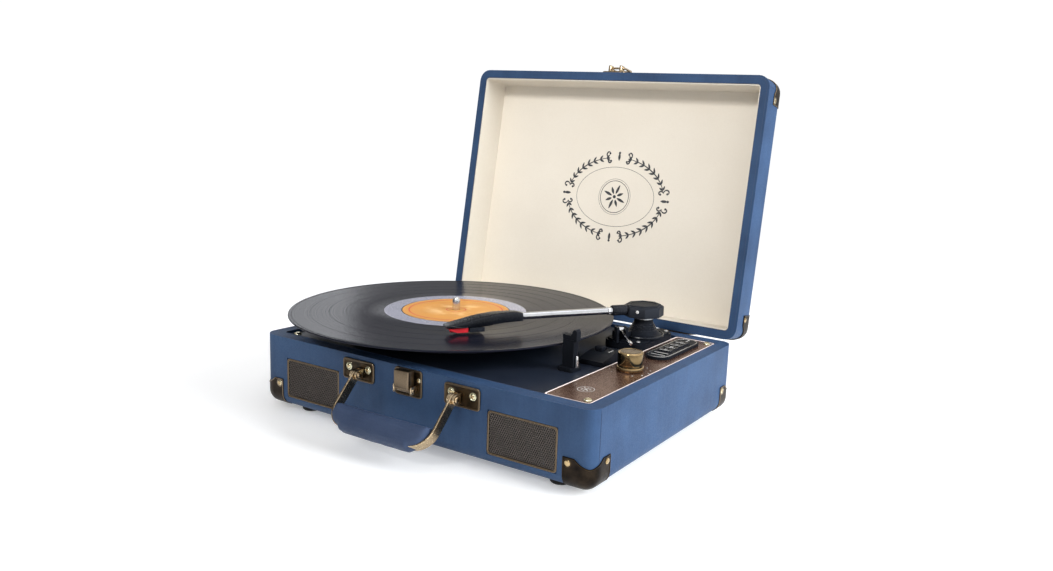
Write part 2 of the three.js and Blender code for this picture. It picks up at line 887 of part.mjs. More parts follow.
// Hinges: a leaf on the body with the pin, and a leaf on the lid.
for (const side of [-1, 1]) {
  const tag = side < 0 ? "left" : "right";
  const cx = side * HINGE_X;
  const y0 = halfD + GAP;
  const y1 = y0 + 1.2;
  const wide = 18;
  const mid = 6;
  let lower = box(cx - wide, cx + wide, y0, y1, 50, HINGE_Z - 2.2);
  lower = lower.add(box(cx - mid, cx + mid, y0, y1, HINGE_Z - 3, HINGE_Z));
  lower = lower.add(rod([cx - mid, HINGE_Y, HINGE_Z], [cx + mid, HINGE_Y, HINGE_Z], 1.7, 20));
  lower = lower.add(rod([cx - wide, HINGE_Y, HINGE_Z], [cx + wide, HINGE_Y, HINGE_Z], 0.8, 12));
  add(`hinge_leaf_base_${tag}`, lower, ...BRONZE);
  let upper = box(cx - wide, cx + wide, y0, y1, HINGE_Z + 2.2, 92);
  for (const s of [-1, 1]) {
    const xa = Math.min(cx + s * (mid + GAP), cx + s * wide);
    const xb = Math.max(cx + s * (mid + GAP), cx + s * wide);
    upper = upper.add(box(xa, xb, y0, y1, HINGE_Z, HINGE_Z + 3));
    upper = upper.add(rod([xa, HINGE_Y, HINGE_Z], [xb, HINGE_Y, HINGE_Z], 1.7, 20));
  }
  upper = upper.subtract(rod([cx - 30, HINGE_Y, HINGE_Z], [cx + 30, HINGE_Y, HINGE_Z], 1.1, 12));
  add(`hinge_leaf_lid_${tag}`, moved(upper, openLid), ...BRONZE);
}

// Hasp on the lid: plate with a pivot block, and the loop folded back over it.
const plateY = FRONT_Y - GAP;
const plateOut = plateY - PLATE_T;
const loopY = plateOut - 4;
const loopZ = LID_Z0 + 7;
let hasp = box(-14.5, 14.5, plateOut, plateY, LID_Z0 + 1.5, LID_Z0 + 24);
for (const s of [-1, 1]) {
  hasp = hasp.add(box(s > 0 ? 5 : -8, s > 0 ? 8 : -5, plateOut - 6.5, plateOut + 0.5, loopZ - 4, loopZ + 3));
}
hasp = hasp.subtract(rod([-12, loopY, loopZ], [12, loopY, loopZ], 1.4, 16));
add("hasp_plate", moved(hasp, openLid), ...BRONZE);

let loop = rod([-9.6, loopY, loopZ], [9.6, loopY, loopZ], 1.1, 16);
for (const s of [-1, 1]) {
  loop = loop.add(box(s > 0 ? 8.4 : -10.4, s > 0 ? 10.4 : -8.4, loopY - 1.1, loopY + 1.1, loopZ - 1, loopZ + 17));
}
loop = loop.add(box(-10.4, 10.4, loopY - 1.1, loopY + 1.1, loopZ + 15, loopZ + 17.2));
add("hasp_loop", moved(loop, openLid), ...BRONZE);

// ---------- front latch and handle ----------

const leverZ = 55.5;
const leverY = plateOut - 4;
let catchPlate = box(-14.5, 14.5, plateOut, plateY, 48.2, 71.2);
for (const s of [-1, 1]) {
  const xa = s > 0 ? 8.2 : -10;
  catchPlate = catchPlate.add(box(xa, xa + 1.8, plateOut - 6.6, plateOut + 0.5, leverZ - 3.4, leverZ + 3.4));
}
catchPlate = catchPlate.add(rod([-9, leverY, leverZ], [9, leverY, leverZ], 1, 16));
add("latch_plate", catchPlate, ...BRONZE);

let lever = softBox(-7.8, 7.8, plateOut - 8, plateOut - 0.6, leverZ - 3, 71.6, 0.9, 2);
lever = lever.subtract(rod([-12, leverY, leverZ], [12, leverY, leverZ], 1.3, 16));
lever = lever.subtract(box(-9, 9, plateOut - 4.4, plateOut + 1, leverZ - 4, leverZ - 1));
add("latch_lever", lever, ...BRONZE);

for (const side of [-1, 1]) {
  const tag = side < 0 ? "left" : "right";
  const cx = side * BRACKET_X;
  const sx = side * STRAP_X;
  let bracket = softBox(cx - 17.75, cx + 17.75, plateOut, plateY, BRACKET_Z - 9, BRACKET_Z + 9, 0.5, 1);
  for (const s of [-1, 1]) {
    const xa = Math.min(sx + s * 1.5, sx + s * 3.7);
    const ear = box(xa, xa + 2.2, HANDLE_Y, plateOut + 0.5, HANDLE_Z - 4.2, HANDLE_Z + 4.2);
    bracket = bracket.add(ear);
    bracket = bracket.add(rod([xa, HANDLE_Y, HANDLE_Z], [xa + 2.2, HANDLE_Y, HANDLE_Z], 4.2, 24));
  }
  bracket = bracket.add(rod([sx - 3, HANDLE_Y, HANDLE_Z], [sx + 3, HANDLE_Y, HANDLE_Z], 1.5, 20));
  add(`handle_bracket_${tag}`, bracket, ...BRONZE);
}

// Handle frame: flat bar bent to a U in its own plane (X across, Z up), then tilted out.
const barW = 9;
const barT = 1;
const dropR = 17;
function uShape(half, bottom, r) {
  const s = new THREE.Shape();
  s.moveTo(-half, 0);
  s.lineTo(-half, -bottom + r);
  s.absarc(-half + r, -bottom + r, r, Math.PI, 1.5 * Math.PI, false);
  s.lineTo(half - r, -bottom);
  s.absarc(half - r, -bottom + r, r, -Math.PI / 2, 0, false);
  s.lineTo(half, 0);
  s.closePath();
  return s;
}
// Raises an XZ shape into a slab of thickness 2 * half about Y = 0.
function slabXZ(shape, half, segments = 10) {
  const stand = new THREE.Matrix4().makeRotationX(Math.PI / 2);
  return moved(extrude(shape, -half, half, segments), stand);
}
const outerU = slabXZ(uShape(STRAP_X + barT, HANDLE_DROP + barT, dropR), barW / 2);
const innerU = slabXZ(uShape(STRAP_X - barT, HANDLE_DROP - barT, dropR - 2 * barT), barW);
let bar = outerU.subtract(innerU.add(box(-STRAP_X + barT, STRAP_X - barT, -20, 20, -1, 5)));
for (const side of [-1, 1]) {
  const sx = side * STRAP_X;
  bar = bar.add(rod([sx - barT, 0, 0], [sx + barT, 0, 0], barW / 2 - 0.1, 24));
  bar = bar.subtract(rod([sx - 3, 0, 0], [sx + 3, 0, 0], 1.8, 20));
}

// Padded grip between the straps, wrapped round the lower run of the bar.
const gripOut = STRAP_X - barT - 0.6;
let gripPlan = slabXZ(uShape(gripOut, HANDLE_DROP - barT - 0.5, dropR - 2.6), 12);
gripPlan = gripPlan.add(box(-36.5, 36.5, -12, 12, -HANDLE_DROP - 4, -30));
const gripRound = moved(
  slab(-HANDLE_DROP - 4, -26.5, -9, 9, -60, 60, 7),
  new THREE.Matrix4().makeBasis(
    new THREE.Vector3(0, 0, 1),
    new THREE.Vector3(0, 1, 0),
    new THREE.Vector3(-1, 0, 0),
  ),
);
let grip = gripPlan.intersect(gripRound);
const barRoom = slabXZ(uShape(STRAP_X + barT + GAP, HANDLE_DROP + barT + GAP, dropR + GAP), barW / 2 + GAP)
  .subtract(slabXZ(uShape(STRAP_X - barT - GAP, HANDLE_DROP - barT - GAP, dropR - 2 * barT - GAP), barW));
grip = grip.subtract(barRoom);
const swing = new THREE.Matrix4()
  .makeTranslation(0, HANDLE_Y, HANDLE_Z)
  .multiply(new THREE.Matrix4().makeRotationX(rad(-HANDLE_TILT)));
add("handle_bar", moved(bar, swing), ...BRASS);
add("handle_grip", moved(grip, swing), ...LEATHER);

// ---------- origin at the centre of the footprint ----------

const bounds = new THREE.Box3().setFromObject(group);
const shiftX = -(bounds.min.x + bounds.max.x) / 2;
const shiftY = -(bounds.min.y + bounds.max.y) / 2;
const shiftZ = -bounds.min.z;
for (const mesh of group.children) {
  mesh.geometry.translate(shiftX, shiftY, shiftZ);
}

export default group;
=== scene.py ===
from math import atan2, copysign, cos, degrees, pi, radians, sin, sqrt

import bmesh
import bpy
from mathutils import Matrix, Vector, noise
from mathutils.bvhtree import BVHTree

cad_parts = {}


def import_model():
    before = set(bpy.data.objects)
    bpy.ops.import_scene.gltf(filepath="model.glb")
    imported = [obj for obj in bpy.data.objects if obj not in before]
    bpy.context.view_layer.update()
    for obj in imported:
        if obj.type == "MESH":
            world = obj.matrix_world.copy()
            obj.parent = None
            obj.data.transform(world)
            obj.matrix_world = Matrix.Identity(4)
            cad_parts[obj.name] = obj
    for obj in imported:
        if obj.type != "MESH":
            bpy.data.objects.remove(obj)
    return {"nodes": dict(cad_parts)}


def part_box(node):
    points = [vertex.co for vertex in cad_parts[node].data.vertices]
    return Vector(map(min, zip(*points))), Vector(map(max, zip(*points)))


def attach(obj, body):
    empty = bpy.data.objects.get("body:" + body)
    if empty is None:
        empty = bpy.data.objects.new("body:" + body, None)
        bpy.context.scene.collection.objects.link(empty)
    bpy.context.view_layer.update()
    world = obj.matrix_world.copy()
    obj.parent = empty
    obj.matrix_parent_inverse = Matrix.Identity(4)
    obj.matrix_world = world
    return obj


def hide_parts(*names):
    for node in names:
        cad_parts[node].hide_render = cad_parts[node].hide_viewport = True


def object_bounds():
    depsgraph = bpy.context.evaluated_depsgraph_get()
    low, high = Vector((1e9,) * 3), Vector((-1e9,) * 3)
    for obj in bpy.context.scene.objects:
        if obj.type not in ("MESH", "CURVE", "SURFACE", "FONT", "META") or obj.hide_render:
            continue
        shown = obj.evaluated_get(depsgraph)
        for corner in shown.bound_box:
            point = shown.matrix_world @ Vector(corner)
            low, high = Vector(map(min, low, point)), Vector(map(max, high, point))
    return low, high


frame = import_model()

cad_lo, cad_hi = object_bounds()
nodes = frame["nodes"]


def turned(at, angle, axis):
    """Moves to a point, then turns by degrees about one axis there."""
    return Matrix.Translation(at) @ Matrix.Rotation(radians(angle), 4, axis)


# --- frames
# Design frame: millimetres, origin under the middle of the case body, Z up.
MM = 0.001
SHELL_Z = 8
HALF_WIDTH, HALF_DEPTH = 175.0, 129.0
CASE_ROUND = 12.0
shell_lo, shell_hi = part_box("case_shell")
ORIGIN = Vector(((shell_lo.x + shell_hi.x) / 2, (shell_lo.y + shell_hi.y) / 2, shell_lo.z - SHELL_Z * MM))
CASE = Matrix.Translation(ORIGIN) @ Matrix.Scale(MM, 4)
HINGE = Vector((0, 131.05, 70.75))
LID = CASE @ turned(HINGE, -99.2, "X") @ Matrix.Translation(-HINGE)
ARM_PIVOT, ARM_ANGLE = (104, 76, 0), -122.54
ARM = CASE @ turned(ARM_PIVOT, ARM_ANGLE, "Z")
REST = CASE @ turned(ARM_PIVOT, ARM_ANGLE + 30.1, "Z") @ Matrix.Translation((120.6, 0, 0))
HANDLE_PIN, LATCH_PIN = (0, -136, 58), (0, -134.8, 55.5)
HANDLE = CASE @ turned(HANDLE_PIN, -42, "X")
SPIN = Vector((-54.3, -7.2))
KNOB_X, KNOB_Y = 142.0, -17.5
MODULE_Y = 64
PANEL_TOP = 71.55


# --- shader helpers
def is_link(value):
    return isinstance(value, bpy.types.NodeSocket)


class Shader:
    """A Principled material with short calls for its nodes."""

    def __init__(self, name):
        self.mat = bpy.data.materials.new(name)
        self.mat.use_nodes = True
        self.nt = self.mat.node_tree
        self.bsdf = self.nt.nodes["Principled BSDF"]
        self.coord = self.node("TexCoord").outputs["Object"]

    def node(self, kind, values=None, **props):
        """Adds a node. values holds a number or a link for each of its sockets."""
        n = self.nt.nodes.new("ShaderNode" + kind)
        for k, v in props.items():
            setattr(n, k, v)
        for k, v in (values or {}).items():
            self.put(n.inputs[k], v)
        return n

    def put(self, socket, value):
        if is_link(value):
            self.nt.links.new(value, socket)
        else:
            socket.default_value = value

    def set(self, **values):
        for k, v in values.items():
            self.put(self.bsdf.inputs[k.replace("_", " ")], v)

    def surface(self, colour, fine, rough, lo=0.3, hi=0.7):
        """Sets the colour, and a roughness that follows a fine pattern between two values."""
        self.set(Base_Color=colour, Roughness=self.span(fine, lo, hi, *rough))

    def scaled(self, x, y, z, source=None):
        values = {"Vector": source or self.coord, "Scale": (x, y, z)}
        return self.node("Mapping", values).outputs["Vector"]

    def noise(self, scale, detail=3, rough=0.5, source=None, distortion=0.0):
        values = {"Vector": source or self.coord, "Scale": scale, "Detail": detail, "Roughness": rough}
        return self.node("TexNoise", {**values, "Distortion": distortion}).outputs["Fac"]

    def cells(self, scale):
        return self.node("TexVoronoi", {"Vector": self.coord, "Scale": scale}).outputs["Distance"]

    def ramp(self, fac, stops):
        n = self.node("ValToRGB", {"Fac": fac})
        els = n.color_ramp.elements
        while len(els) < len(stops):
            els.new(0.5)
        for e, (at, c) in zip(els, stops):
            e.position = at
            e.color = (*c, 1)
        return n.outputs["Color"]

    def span(self, fac, lo, hi, a=0.0, b=1.0):
        """Maps lo to hi onto a to b, and holds the ends."""
        values = {"Value": fac, "From Min": lo, "From Max": hi, "To Min": a, "To Max": b}
        return self.node("MapRange", values).outputs["Result"]

    def math(self, op, a, b=0.0):
        return self.node("Math", {0: a, 1: b}, operation=op).outputs[0]

    def add(self, a, b, share):
        """a plus a share of b."""
        return self.math("ADD", a, self.math("MULTIPLY", b, share))

    def mix(self, fac, a, b):
        a, b = (c if is_link(c) else (*c, 1) for c in (a, b))
        return self.node("Mix", {0: fac, 6: a, 7: b}, data_type="RGBA").outputs[2]

    def wear(self, lo, hi, a=0.0, b=1.0):
        """The wear along edges that piece() stores, mapped as in span."""
        return self.span(self.node("Attribute", attribute_name="wear").outputs["Fac"], lo, hi, a, b)

    def bump(self, height, strength, distance_mm):
        values = {"Strength": strength, "Distance": distance_mm * MM, "Height": height}
        self.put(self.bsdf.inputs["Normal"], self.node("Bump", values).outputs["Normal"])

    def radius(self, x, y):
        """Distance from a vertical axis of the design frame, in millimetres."""
        centre = CASE @ Vector((x, y, 0))
        away = self.node("VectorMath", {0: self.coord, 1: centre}, operation="SUBTRACT").outputs[0]
        flat = self.scaled(1000, 1000, 0, away)
        return self.node("VectorMath", {0: flat}, operation="LENGTH").outputs["Value"]

    def along(self, value, scale):
        """A texture vector that only varies with one value."""
        return self.node("CombineXYZ", {0: self.math("MULTIPLY", value, scale)}).outputs[0]


def leather(name, dark, light, streaks=True):
    s = Shader(name)
    colour = s.ramp(s.noise(22, 4, 0.55), [(0.3, dark), (0.7, light)])
    grain = s.noise(900, 3, 0.6)
    height = s.add(s.math("MULTIPLY", s.cells(1150), 0.6), grain, 0.5)
    if streaks:
        tall = s.noise(1, 4, 0.6, s.scaled(95, 95, 9), 0.5)
        fine = s.noise(1, 2, 0.5, s.scaled(700, 700, 60))
        streak = s.add(s.math("MULTIPLY", tall, 0.7), fine, 0.3)
        colour = s.mix(s.span(streak, 0.38, 0.62, 0.0, 0.34), colour, tuple(c * 1.1 for c in light))
        height = s.add(height, streak, 0.28)
    colour = s.mix(s.wear(0.12, 0.6, 0.0, 0.55), colour, tuple(min(1, c * 1.8 + 0.02) for c in light))
    colour = s.mix(s.span(grain, 0.35, 0.65, 0.0, 0.22), colour, dark)
    s.surface(colour, grain, (0.46, 0.62))
    s.set(Specular_IOR_Level=0.2)
    s.bump(height, 0.4, 0.28)
    return s.mat


def metal(name, dark, light, rough, patina):
    """Plated metal: darker in the flats, rubbed bright along the edges."""
    s = Shader(name)
    cloud = s.noise(90, 5, 0.6)
    speck = s.noise(1400, 2, 0.5)
    base = s.mix(s.span(cloud, 0.35, 0.68, 0.0, patina), light, dark)
    rub = s.math("MULTIPLY", s.wear(0.07, 0.34), s.span(speck, 0.3, 0.6, 0.6, 1.0))
    base = s.mix(rub, base, tuple(min(1.0, c * 3.4 + 0.06) for c in light))
    s.surface(base, speck, rough)
    s.set(Metallic=1.0)
    s.bump(s.add(cloud, speck, 0.35), 0.25, 0.12)
    return s.mat


def plastic(name, dark, light, rough, grain=1400, bump=0.25, depth=0.06, specular=0.5):
    s = Shader(name)
    fine = s.noise(grain, 2, 0.5)
    colour = s.mix(s.span(s.noise(40, 3, 0.5), 0.3, 0.7), dark, light)
    colour = s.mix(s.wear(0.12, 0.6, 0.0, 0.5), colour, tuple(c * 2.2 + 0.012 for c in light))
    s.surface(colour, fine, rough)
    s.set(Specular_IOR_Level=specular)
    s.bump(fine, bump, depth)
    return s.mat


def lining_material():
    s = Shader("lining_cream")
    weave = s.math("ADD", *(s.noise(1, 3, 0.6, s.scaled(x, y, y)) for x, y in ((260, 1500), (1500, 260))))
    colour = s.ramp(s.noise(9, 3, 0.5), [(0.3, (0.70, 0.645, 0.555)), (0.7, (0.75, 0.70, 0.61))])
    colour = s.mix(s.span(weave, 0.8, 1.2, 0.0, 0.12), colour, (0.60, 0.54, 0.45))
    s.surface(colour, weave, (0.62, 0.78), 0.8, 1.2)
    s.bump(weave, 0.22, 0.12)
    return s.mat


def panel_material():
    s = Shader("panel_brown")
    hair = s.noise(1500, 2, 0.5)
    colour = s.ramp(s.noise(30, 3, 0.5), [(0.3, (0.150, 0.082, 0.058)), (0.7, (0.190, 0.106, 0.076))])
    s.surface(colour, hair, (0.26, 0.28))
    s.set(Metallic=0.7)
    s.bump(hair, 0.015, 0.004)
    return s.mat


def vinyl_material():
    s = Shader("record_vinyl")
    r = s.radius(*SPIN)
    groove = s.math("SINE", s.math("MULTIPLY", r, 9.0))
    band = s.noise(1, 2, 0.5, s.along(r, 0.9))
    colour = s.ramp(band, [(0.3, (0.0035, 0.004, 0.008)), (0.7, (0.009, 0.010, 0.018))])
    s.surface(colour, band, (0.17, 0.27))
    s.set(Anisotropic=0.72, Specular_IOR_Level=0.3, IOR=1.3)
    s.put(s.bsdf.inputs["Tangent"], s.node("Tangent", direction_type="RADIAL", axis="Z").outputs[0])
    s.bump(groove, 0.06, 0.04)
    return s.mat


def label_material():
    """Mottled orange with two thin red rings."""
    s = Shader("label_orange")
    r = s.radius(*SPIN)
    cloud = s.noise(60, 3, 0.5)
    orange = s.ramp(cloud, [(0.3, (0.55, 0.235, 0.035)), (0.7, (0.62, 0.285, 0.055))])
    pale = s.mix(s.span(s.noise(55, 4, 0.6), 0.46, 0.6, 0.0, 0.75), orange, (0.95, 0.72, 0.38))
    off, on = (0, 0, 0), (1, 1, 1)
    rings = s.ramp(s.span(r, 0, 50), [
        (0.0, off), (0.17, off), (0.175, on), (0.19, on), (0.195, off),
        (0.86, off), (0.865, on), (0.885, on), (0.89, off),
    ])
    middle = s.math("SUBTRACT", 1.0, s.span(r, 18, 32))
    colour = s.mix(s.math("MULTIPLY", middle, 0.6), orange, pale)
    s.surface(s.mix(rings, colour, (0.52, 0.03, 0.02)), cloud, (0.42, 0.56))
    s.bump(s.noise(1600, 2, 0.5), 0.15, 0.05)
    return s.mat


def board_material():
    s = Shader("board_green")
    trace = s.cells(260)
    colour = s.mix(s.span(trace, 0.3, 0.34), (0.02, 0.10, 0.035), (0.035, 0.16, 0.06))
    s.surface(colour, s.noise(300, 2, 0.5), (0.35, 0.5))
    s.bump(trace, 0.2, 0.05)
    return s.mat


def floor_material():
    """Pale and matt near the object, fading out into the white surroundings."""
    s = Shader("studio_floor")
    cloud = s.noise(3, 2, 0.5)
    s.surface(s.ramp(cloud, [(0.3, (0.86, 0.86, 0.86)), (0.7, (0.88, 0.88, 0.88))]), cloud, (0.7, 0.8))
    s.set(Specular_IOR_Level=0.1, Emission_Color=(1.0, 1.0, 1.0, 1.0), Emission_Strength=0.30)
    fade = s.node("MixShader", {
        0: s.span(s.radius(0, 0), 520, 900), 1: s.bsdf.outputs[0], 2: s.node("BsdfTransparent").outputs[0],
    })
    s.put(s.nt.nodes["Material Output"].inputs["Surface"], fade.outputs[0])
    return s.mat


LEATHER = leather("leather_blue", (0.019, 0.042, 0.094), (0.034, 0.074, 0.158))
GRIP = leather("grip_leather", (0.028, 0.044, 0.088), (0.048, 0.070, 0.130), streaks=False)
BRONZE = metal("antique_bronze", (0.012, 0.0095, 0.008), (0.068, 0.047, 0.026), (0.3, 0.46), 0.95)
CORNER = metal("corner_bronze", (0.009, 0.0075, 0.007), (0.040, 0.029, 0.020), (0.38, 0.54), 0.95)
BRASS = metal("brass_strap", (0.05, 0.037, 0.024), (0.20, 0.15, 0.09), (0.22, 0.36), 0.8)
GOLD = metal("polished_brass", (0.055, 0.037, 0.018), (0.185, 0.128, 0.060), (0.08, 0.14), 0.5)
SCREW = metal("brass_screw", (0.22, 0.15, 0.07), (0.52, 0.38, 0.20), (0.14, 0.24), 0.5)
CHROME = metal("chrome", (0.48, 0.49, 0.51), (0.70, 0.71, 0.73), (0.12, 0.18), 0.4)
STEEL = metal("satin_steel", (0.35, 0.36, 0.37), (0.55, 0.56, 0.57), (0.3, 0.42), 0.4)
GRILLE = metal("grille_bronze", (0.004, 0.0034, 0.0034), (0.022, 0.017, 0.014), (0.38, 0.54), 0.9)
BLACK = plastic("black_plastic", (0.0045, 0.0055, 0.008), (0.0075, 0.009, 0.013), (0.42, 0.55), specular=0.12)
GLOSSY = plastic("black_gloss", (0.003, 0.0035, 0.005), (0.006, 0.007, 0.01), (0.2, 0.3), 900, 0.1, 0.03, 0.2)
DECK = plastic("deck_slate", (0.01, 0.014, 0.024), (0.016, 0.021, 0.034), (0.36, 0.46), 1800, 0.35, 0.06, 0.2)
RUBBER = plastic("rubber", (0.008, 0.008, 0.008), (0.015, 0.015, 0.015), (0.7, 0.85), 1200, 0.5, 0.12, 0.3)
RED = plastic("stylus_red", (0.22, 0.004, 0.008), (0.34, 0.007, 0.013), (0.26, 0.36), 800, 0.1, 0.03)
WHITE = plastic("print_white", (0.42, 0.41, 0.40), (0.56, 0.55, 0.53), (0.4, 0.5), 900, 0.1, 0.02)
INK = plastic("print_ink", (0.022, 0.024, 0.028), (0.040, 0.042, 0.048), (0.5, 0.6), 900, 0.1, 0.02)
THREAD = plastic("seam_dark", (0.012, 0.022, 0.05), (0.022, 0.038, 0.08), (0.6, 0.7), 1500, 0.5, 0.1)
# Painted sheen: the runout vinyl is black, and this bright lavender colour stands in for the light it
# reflects.
RUNOUT_PAINTED_SHEEN = plastic("runout_painted_sheen", (0.255, 0.255, 0.315), (0.31, 0.31, 0.375), (0.2, 0.3), 900, 0.12, 0.02)
EDGE = plastic("panel_edge", (0.66, 0.55, 0.52), (0.78, 0.68, 0.65), (0.2, 0.3), 900, 0.1, 0.02)
LINING = lining_material()
PANEL = panel_material()
VINYL = vinyl_material()
LABEL = label_material()
BOARD = board_material()

# --- CAD nodes
# Anything not listed is black plastic. A name that ends in _ covers all nodes that start with it.
FINISH = {
    "case_shell": LEATHER, "lid_shell": LEATHER, "lid_lining": LINING,
    "deck_plate": DECK, "control_panel": PANEL, "control_board": BOARD,
    "record": VINYL, "record_label": LABEL, "spindle": CHROME,
    "tonearm_tube": CHROME, "cue_lever": CHROME, "motor": STEEL, "motor_pulley": SCREW,
    "volume_knob": GOLD, "stylus": RED, "tonearm_yoke": STEEL,
    "platter_mat": RUBBER, "drive_belt": RUBBER,
    "guard_": CORNER, "grille_": BRONZE, "hinge_": BRONZE, "hasp_": BRONZE, "latch_": BRONZE,
    "handle_": BRASS, "foot_": RUBBER, "button_": GLOSSY,
}
BEVELS = {
    "tonearm_plinth": 0.6, "arm_rest": 0.5, "speed_switch_housing": 0.6, "speed_switch_tab": 0.25,
    "deck_plate": 0.3, "media_module": 0.4, "tonearm_yoke": 0.3, "socket_plate": 0.4,
}


def shading_group():
    """Welds the imported triangles and keeps only real edges sharp."""
    g = bpy.data.node_groups.new("cad_shading", "GeometryNodeTree")
    for way in ("INPUT", "OUTPUT"):
        g.interface.new_socket("Geometry", in_out=way, socket_type="NodeSocketGeometry")
    new, link = g.nodes.new, g.links.new
    start, end = new("NodeGroupInput"), new("NodeGroupOutput")
    weld = new("GeometryNodeMergeByDistance")
    weld.inputs["Distance"].default_value = 0.00001
    soft, hard = new("GeometryNodeSetShadeSmooth"), new("GeometryNodeSetShadeSmooth")
    hard.domain = "EDGE"
    hard.inputs["Shade Smooth"].default_value = False
    angle = new("GeometryNodeInputMeshEdgeAngle")
    over = new("FunctionNodeCompare")
    over.data_type, over.operation = "FLOAT", "GREATER_THAN"
    over.inputs[1].default_value = radians(32)
    link(start.outputs[0], weld.inputs["Geometry"])
    link(weld.outputs[0], soft.inputs["Geometry"])
    link(soft.outputs[0], hard.inputs["Geometry"])
    link(angle.outputs["Unsigned Angle"], over.inputs[0])
    link(over.outputs[0], hard.inputs["Selection"])
    link(hard.outputs[0], end.inputs[0])
    return g


SHADING = shading_group()
for name, obj in nodes.items():
    group = next((p for p in FINISH if p.endswith("_") and name.startswith(p)), name)
    obj.data.materials.clear()
    obj.data.materials.append(FINISH.get(group, BLACK))
    obj.modifiers.new("shading", "NODES").node_group = SHADING
    if name in BEVELS:
        bevel = obj.modifiers.new("edge", "BEVEL")
        bevel.width = BEVELS[name] * MM
        bevel.segments = 2
        bevel.limit_method = "ANGLE"
        bevel.angle_limit = radians(38)
        bevel.harden_normals = True


# --- mesh helpers
# They all draw into one mesh, in millimetres. take_mesh() hands it over and starts the next.
bm = bmesh.new()


def frame_at(at, ex, ey, base):
    """A frame at a design-frame point with its X along ex and its Y along ey."""
    ex, ey = Vector(ex), Vector(ey)
    return base @ (Matrix.Translation(at) @ Matrix((ex, ey, ex.cross(ey))).transposed().to_4x4())


def on_front(x, z, base=CASE):
    return frame_at((x, -HALF_DEPTH, z), (1, 0, 0), (0, 0, 1), base)


def take_mesh(name):
    global bm
    me = bpy.data.meshes.new(name)
    bm.to_mesh(me)
    bm.free()
    bm = bmesh.new()
    return me


def add_object(name, data):
    obj = bpy.data.objects.new(name, data)
    bpy.context.scene.collection.objects.link(obj)
    return obj


def piece(name, mat, body, at=CASE, sharp=32, stands_for=None):
    """Turns the drawn mesh into an object that rides on a body. Convex edges are marked for wear."""
    bmesh.ops.remove_doubles(bm, verts=bm.verts, dist=0.002)
    bmesh.ops.recalc_face_normals(bm, faces=bm.faces)
    if at.to_3x3().determinant() < 0:
        bmesh.ops.reverse_faces(bm, faces=bm.faces)
    bm.normal_update()
    worn = []
    for v in bm.verts:
        turns = [e.calc_face_angle_signed(0) for e in v.link_edges if len(e.link_faces) == 2]
        worn.append(min(1.0, max(0.0, sum(turns) / len(turns))) if turns else 0.0)
    bm.transform(at)
    me = take_mesh(name)
    for p in me.polygons:
        p.use_smooth = True
    me.set_sharp_from_angle(angle=radians(sharp))
    me.attributes.new("wear", "FLOAT", "POINT").data.foreach_set("value", worn)
    me.materials.append(mat)
    obj = add_object(name, me)
    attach(obj, body)
    if stands_for:
        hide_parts(stands_for)
    return obj


def move(rings, m):
    if m:
        bmesh.ops.transform(bm, matrix=m, verts=[v for ring in rings for v in ring])


def circle(r, n=12, ry=None):
    ry = r if ry is None else ry
    return [(r * cos(2 * pi * i / n), ry * sin(2 * pi * i / n)) for i in range(n)]


def lathe(profile, seg=64, x=0.0, y=0.0, m=None, closed=False):
    """Turns (r, z) points about the vertical axis at (x, y)."""
    rings = []
    for r, z in profile:
        turn = circle(r, seg) if r >= 1e-6 else [(0.0, 0.0)]
        rings.append([bm.verts.new((x + u, y + v, z)) for u, v in turn])
    pairs = list(zip(rings, rings[1:]))
    if closed:
        pairs.append((rings[-1], rings[0]))
    for a, b in pairs:
        for i in range(seg):
            j = (i + 1) % seg
            quad = list(dict.fromkeys((a[i % len(a)], a[j % len(a)], b[j % len(b)], b[i % len(b)])))
            if len(quad) > 2:
                bm.faces.new(quad)
    move(rings, m)


def rect(half_x, half_y, r, n=6, x=0.0, y=0.0):
    """A rectangle with round corners about (x, y), anticlockwise."""
    out = []
    for sx, sy, a in ((1, -1, -90), (1, 1, 0), (-1, 1, 90), (-1, -1, 180)):
        for i in range(n + 1):
            t = radians(a + 90 * i / n)
            out.append((x + sx * (half_x - r) + r * cos(t), y + sy * (half_y - r) + r * sin(t)))
    return out


def shrink(outline, d):
    """Moves a closed outline inwards by d (anticlockwise order)."""
    n = len(outline)
    out = []
    for i in range(n):
        a, b, c = (Vector(outline[(i + k) % n]) for k in (-1, 0, 1))
        e1, e2 = (b - a).normalized(), (c - b).normalized()
        n1, n2 = Vector((-e1.y, e1.x)), Vector((-e2.y, e2.x))
        m = n1 + n2
        m = n1 if m.length < 1e-6 else m.normalized()
        out.append(tuple(b + m * (d / max(0.4, m.dot(n1)))))
    return out


def layers(outline, *steps):
    """An outline moved inwards by the first number of each step, at the height of the second."""
    return [(shrink(outline, d), z) for d, z in steps]


def join(rings, cap_low=True, cap_high=True, closed=False):
    """Makes the faces between rings of equal length."""
    n = len(rings[0])
    for a, b in list(zip(rings, rings[1:])) + ([(rings[-1], rings[0])] if closed else []):
        for i in range(n):
            j = (i + 1) % n
            bm.faces.new((a[i], a[j], b[j], b[i]))
    if cap_low:
        bm.faces.new(rings[0][::-1])
    if cap_high:
        bm.faces.new(rings[-1])


def stack(levels, caps=True, m=None):
    """Joins outlines of equal length, each (points, z), into one skin."""
    rings = [[bm.verts.new((p[0], p[1], z)) for p in pts] for pts, z in levels]
    join(rings, caps, caps)
    move(rings, m)


def plate(outline, z0, z1, r=0.5, lip=None, m=None):
    """A pressed plate: rounded top edge, and with lip=(width, depth) a raised border round a sunk face."""
    steps = [(0, z0), (0, z1 - r)]
    for i in (1, 2, 3):
        a = pi / 2 * i / 3
        steps.append((r * (1 - cos(a)), z1 - r + r * sin(a)))
    if lip:
        w, d = lip
        for across, down in ((0.5, 0), (0.75, 0.3), (1, 0.85), (1.25, 1), (1.5, 1)):
            steps.append((r + w * across, z1 - d * down))
    else:
        steps += [(r + 0.25, z1), (r + 0.5, z1)]
    stack(layers(outline, *steps), m=m)


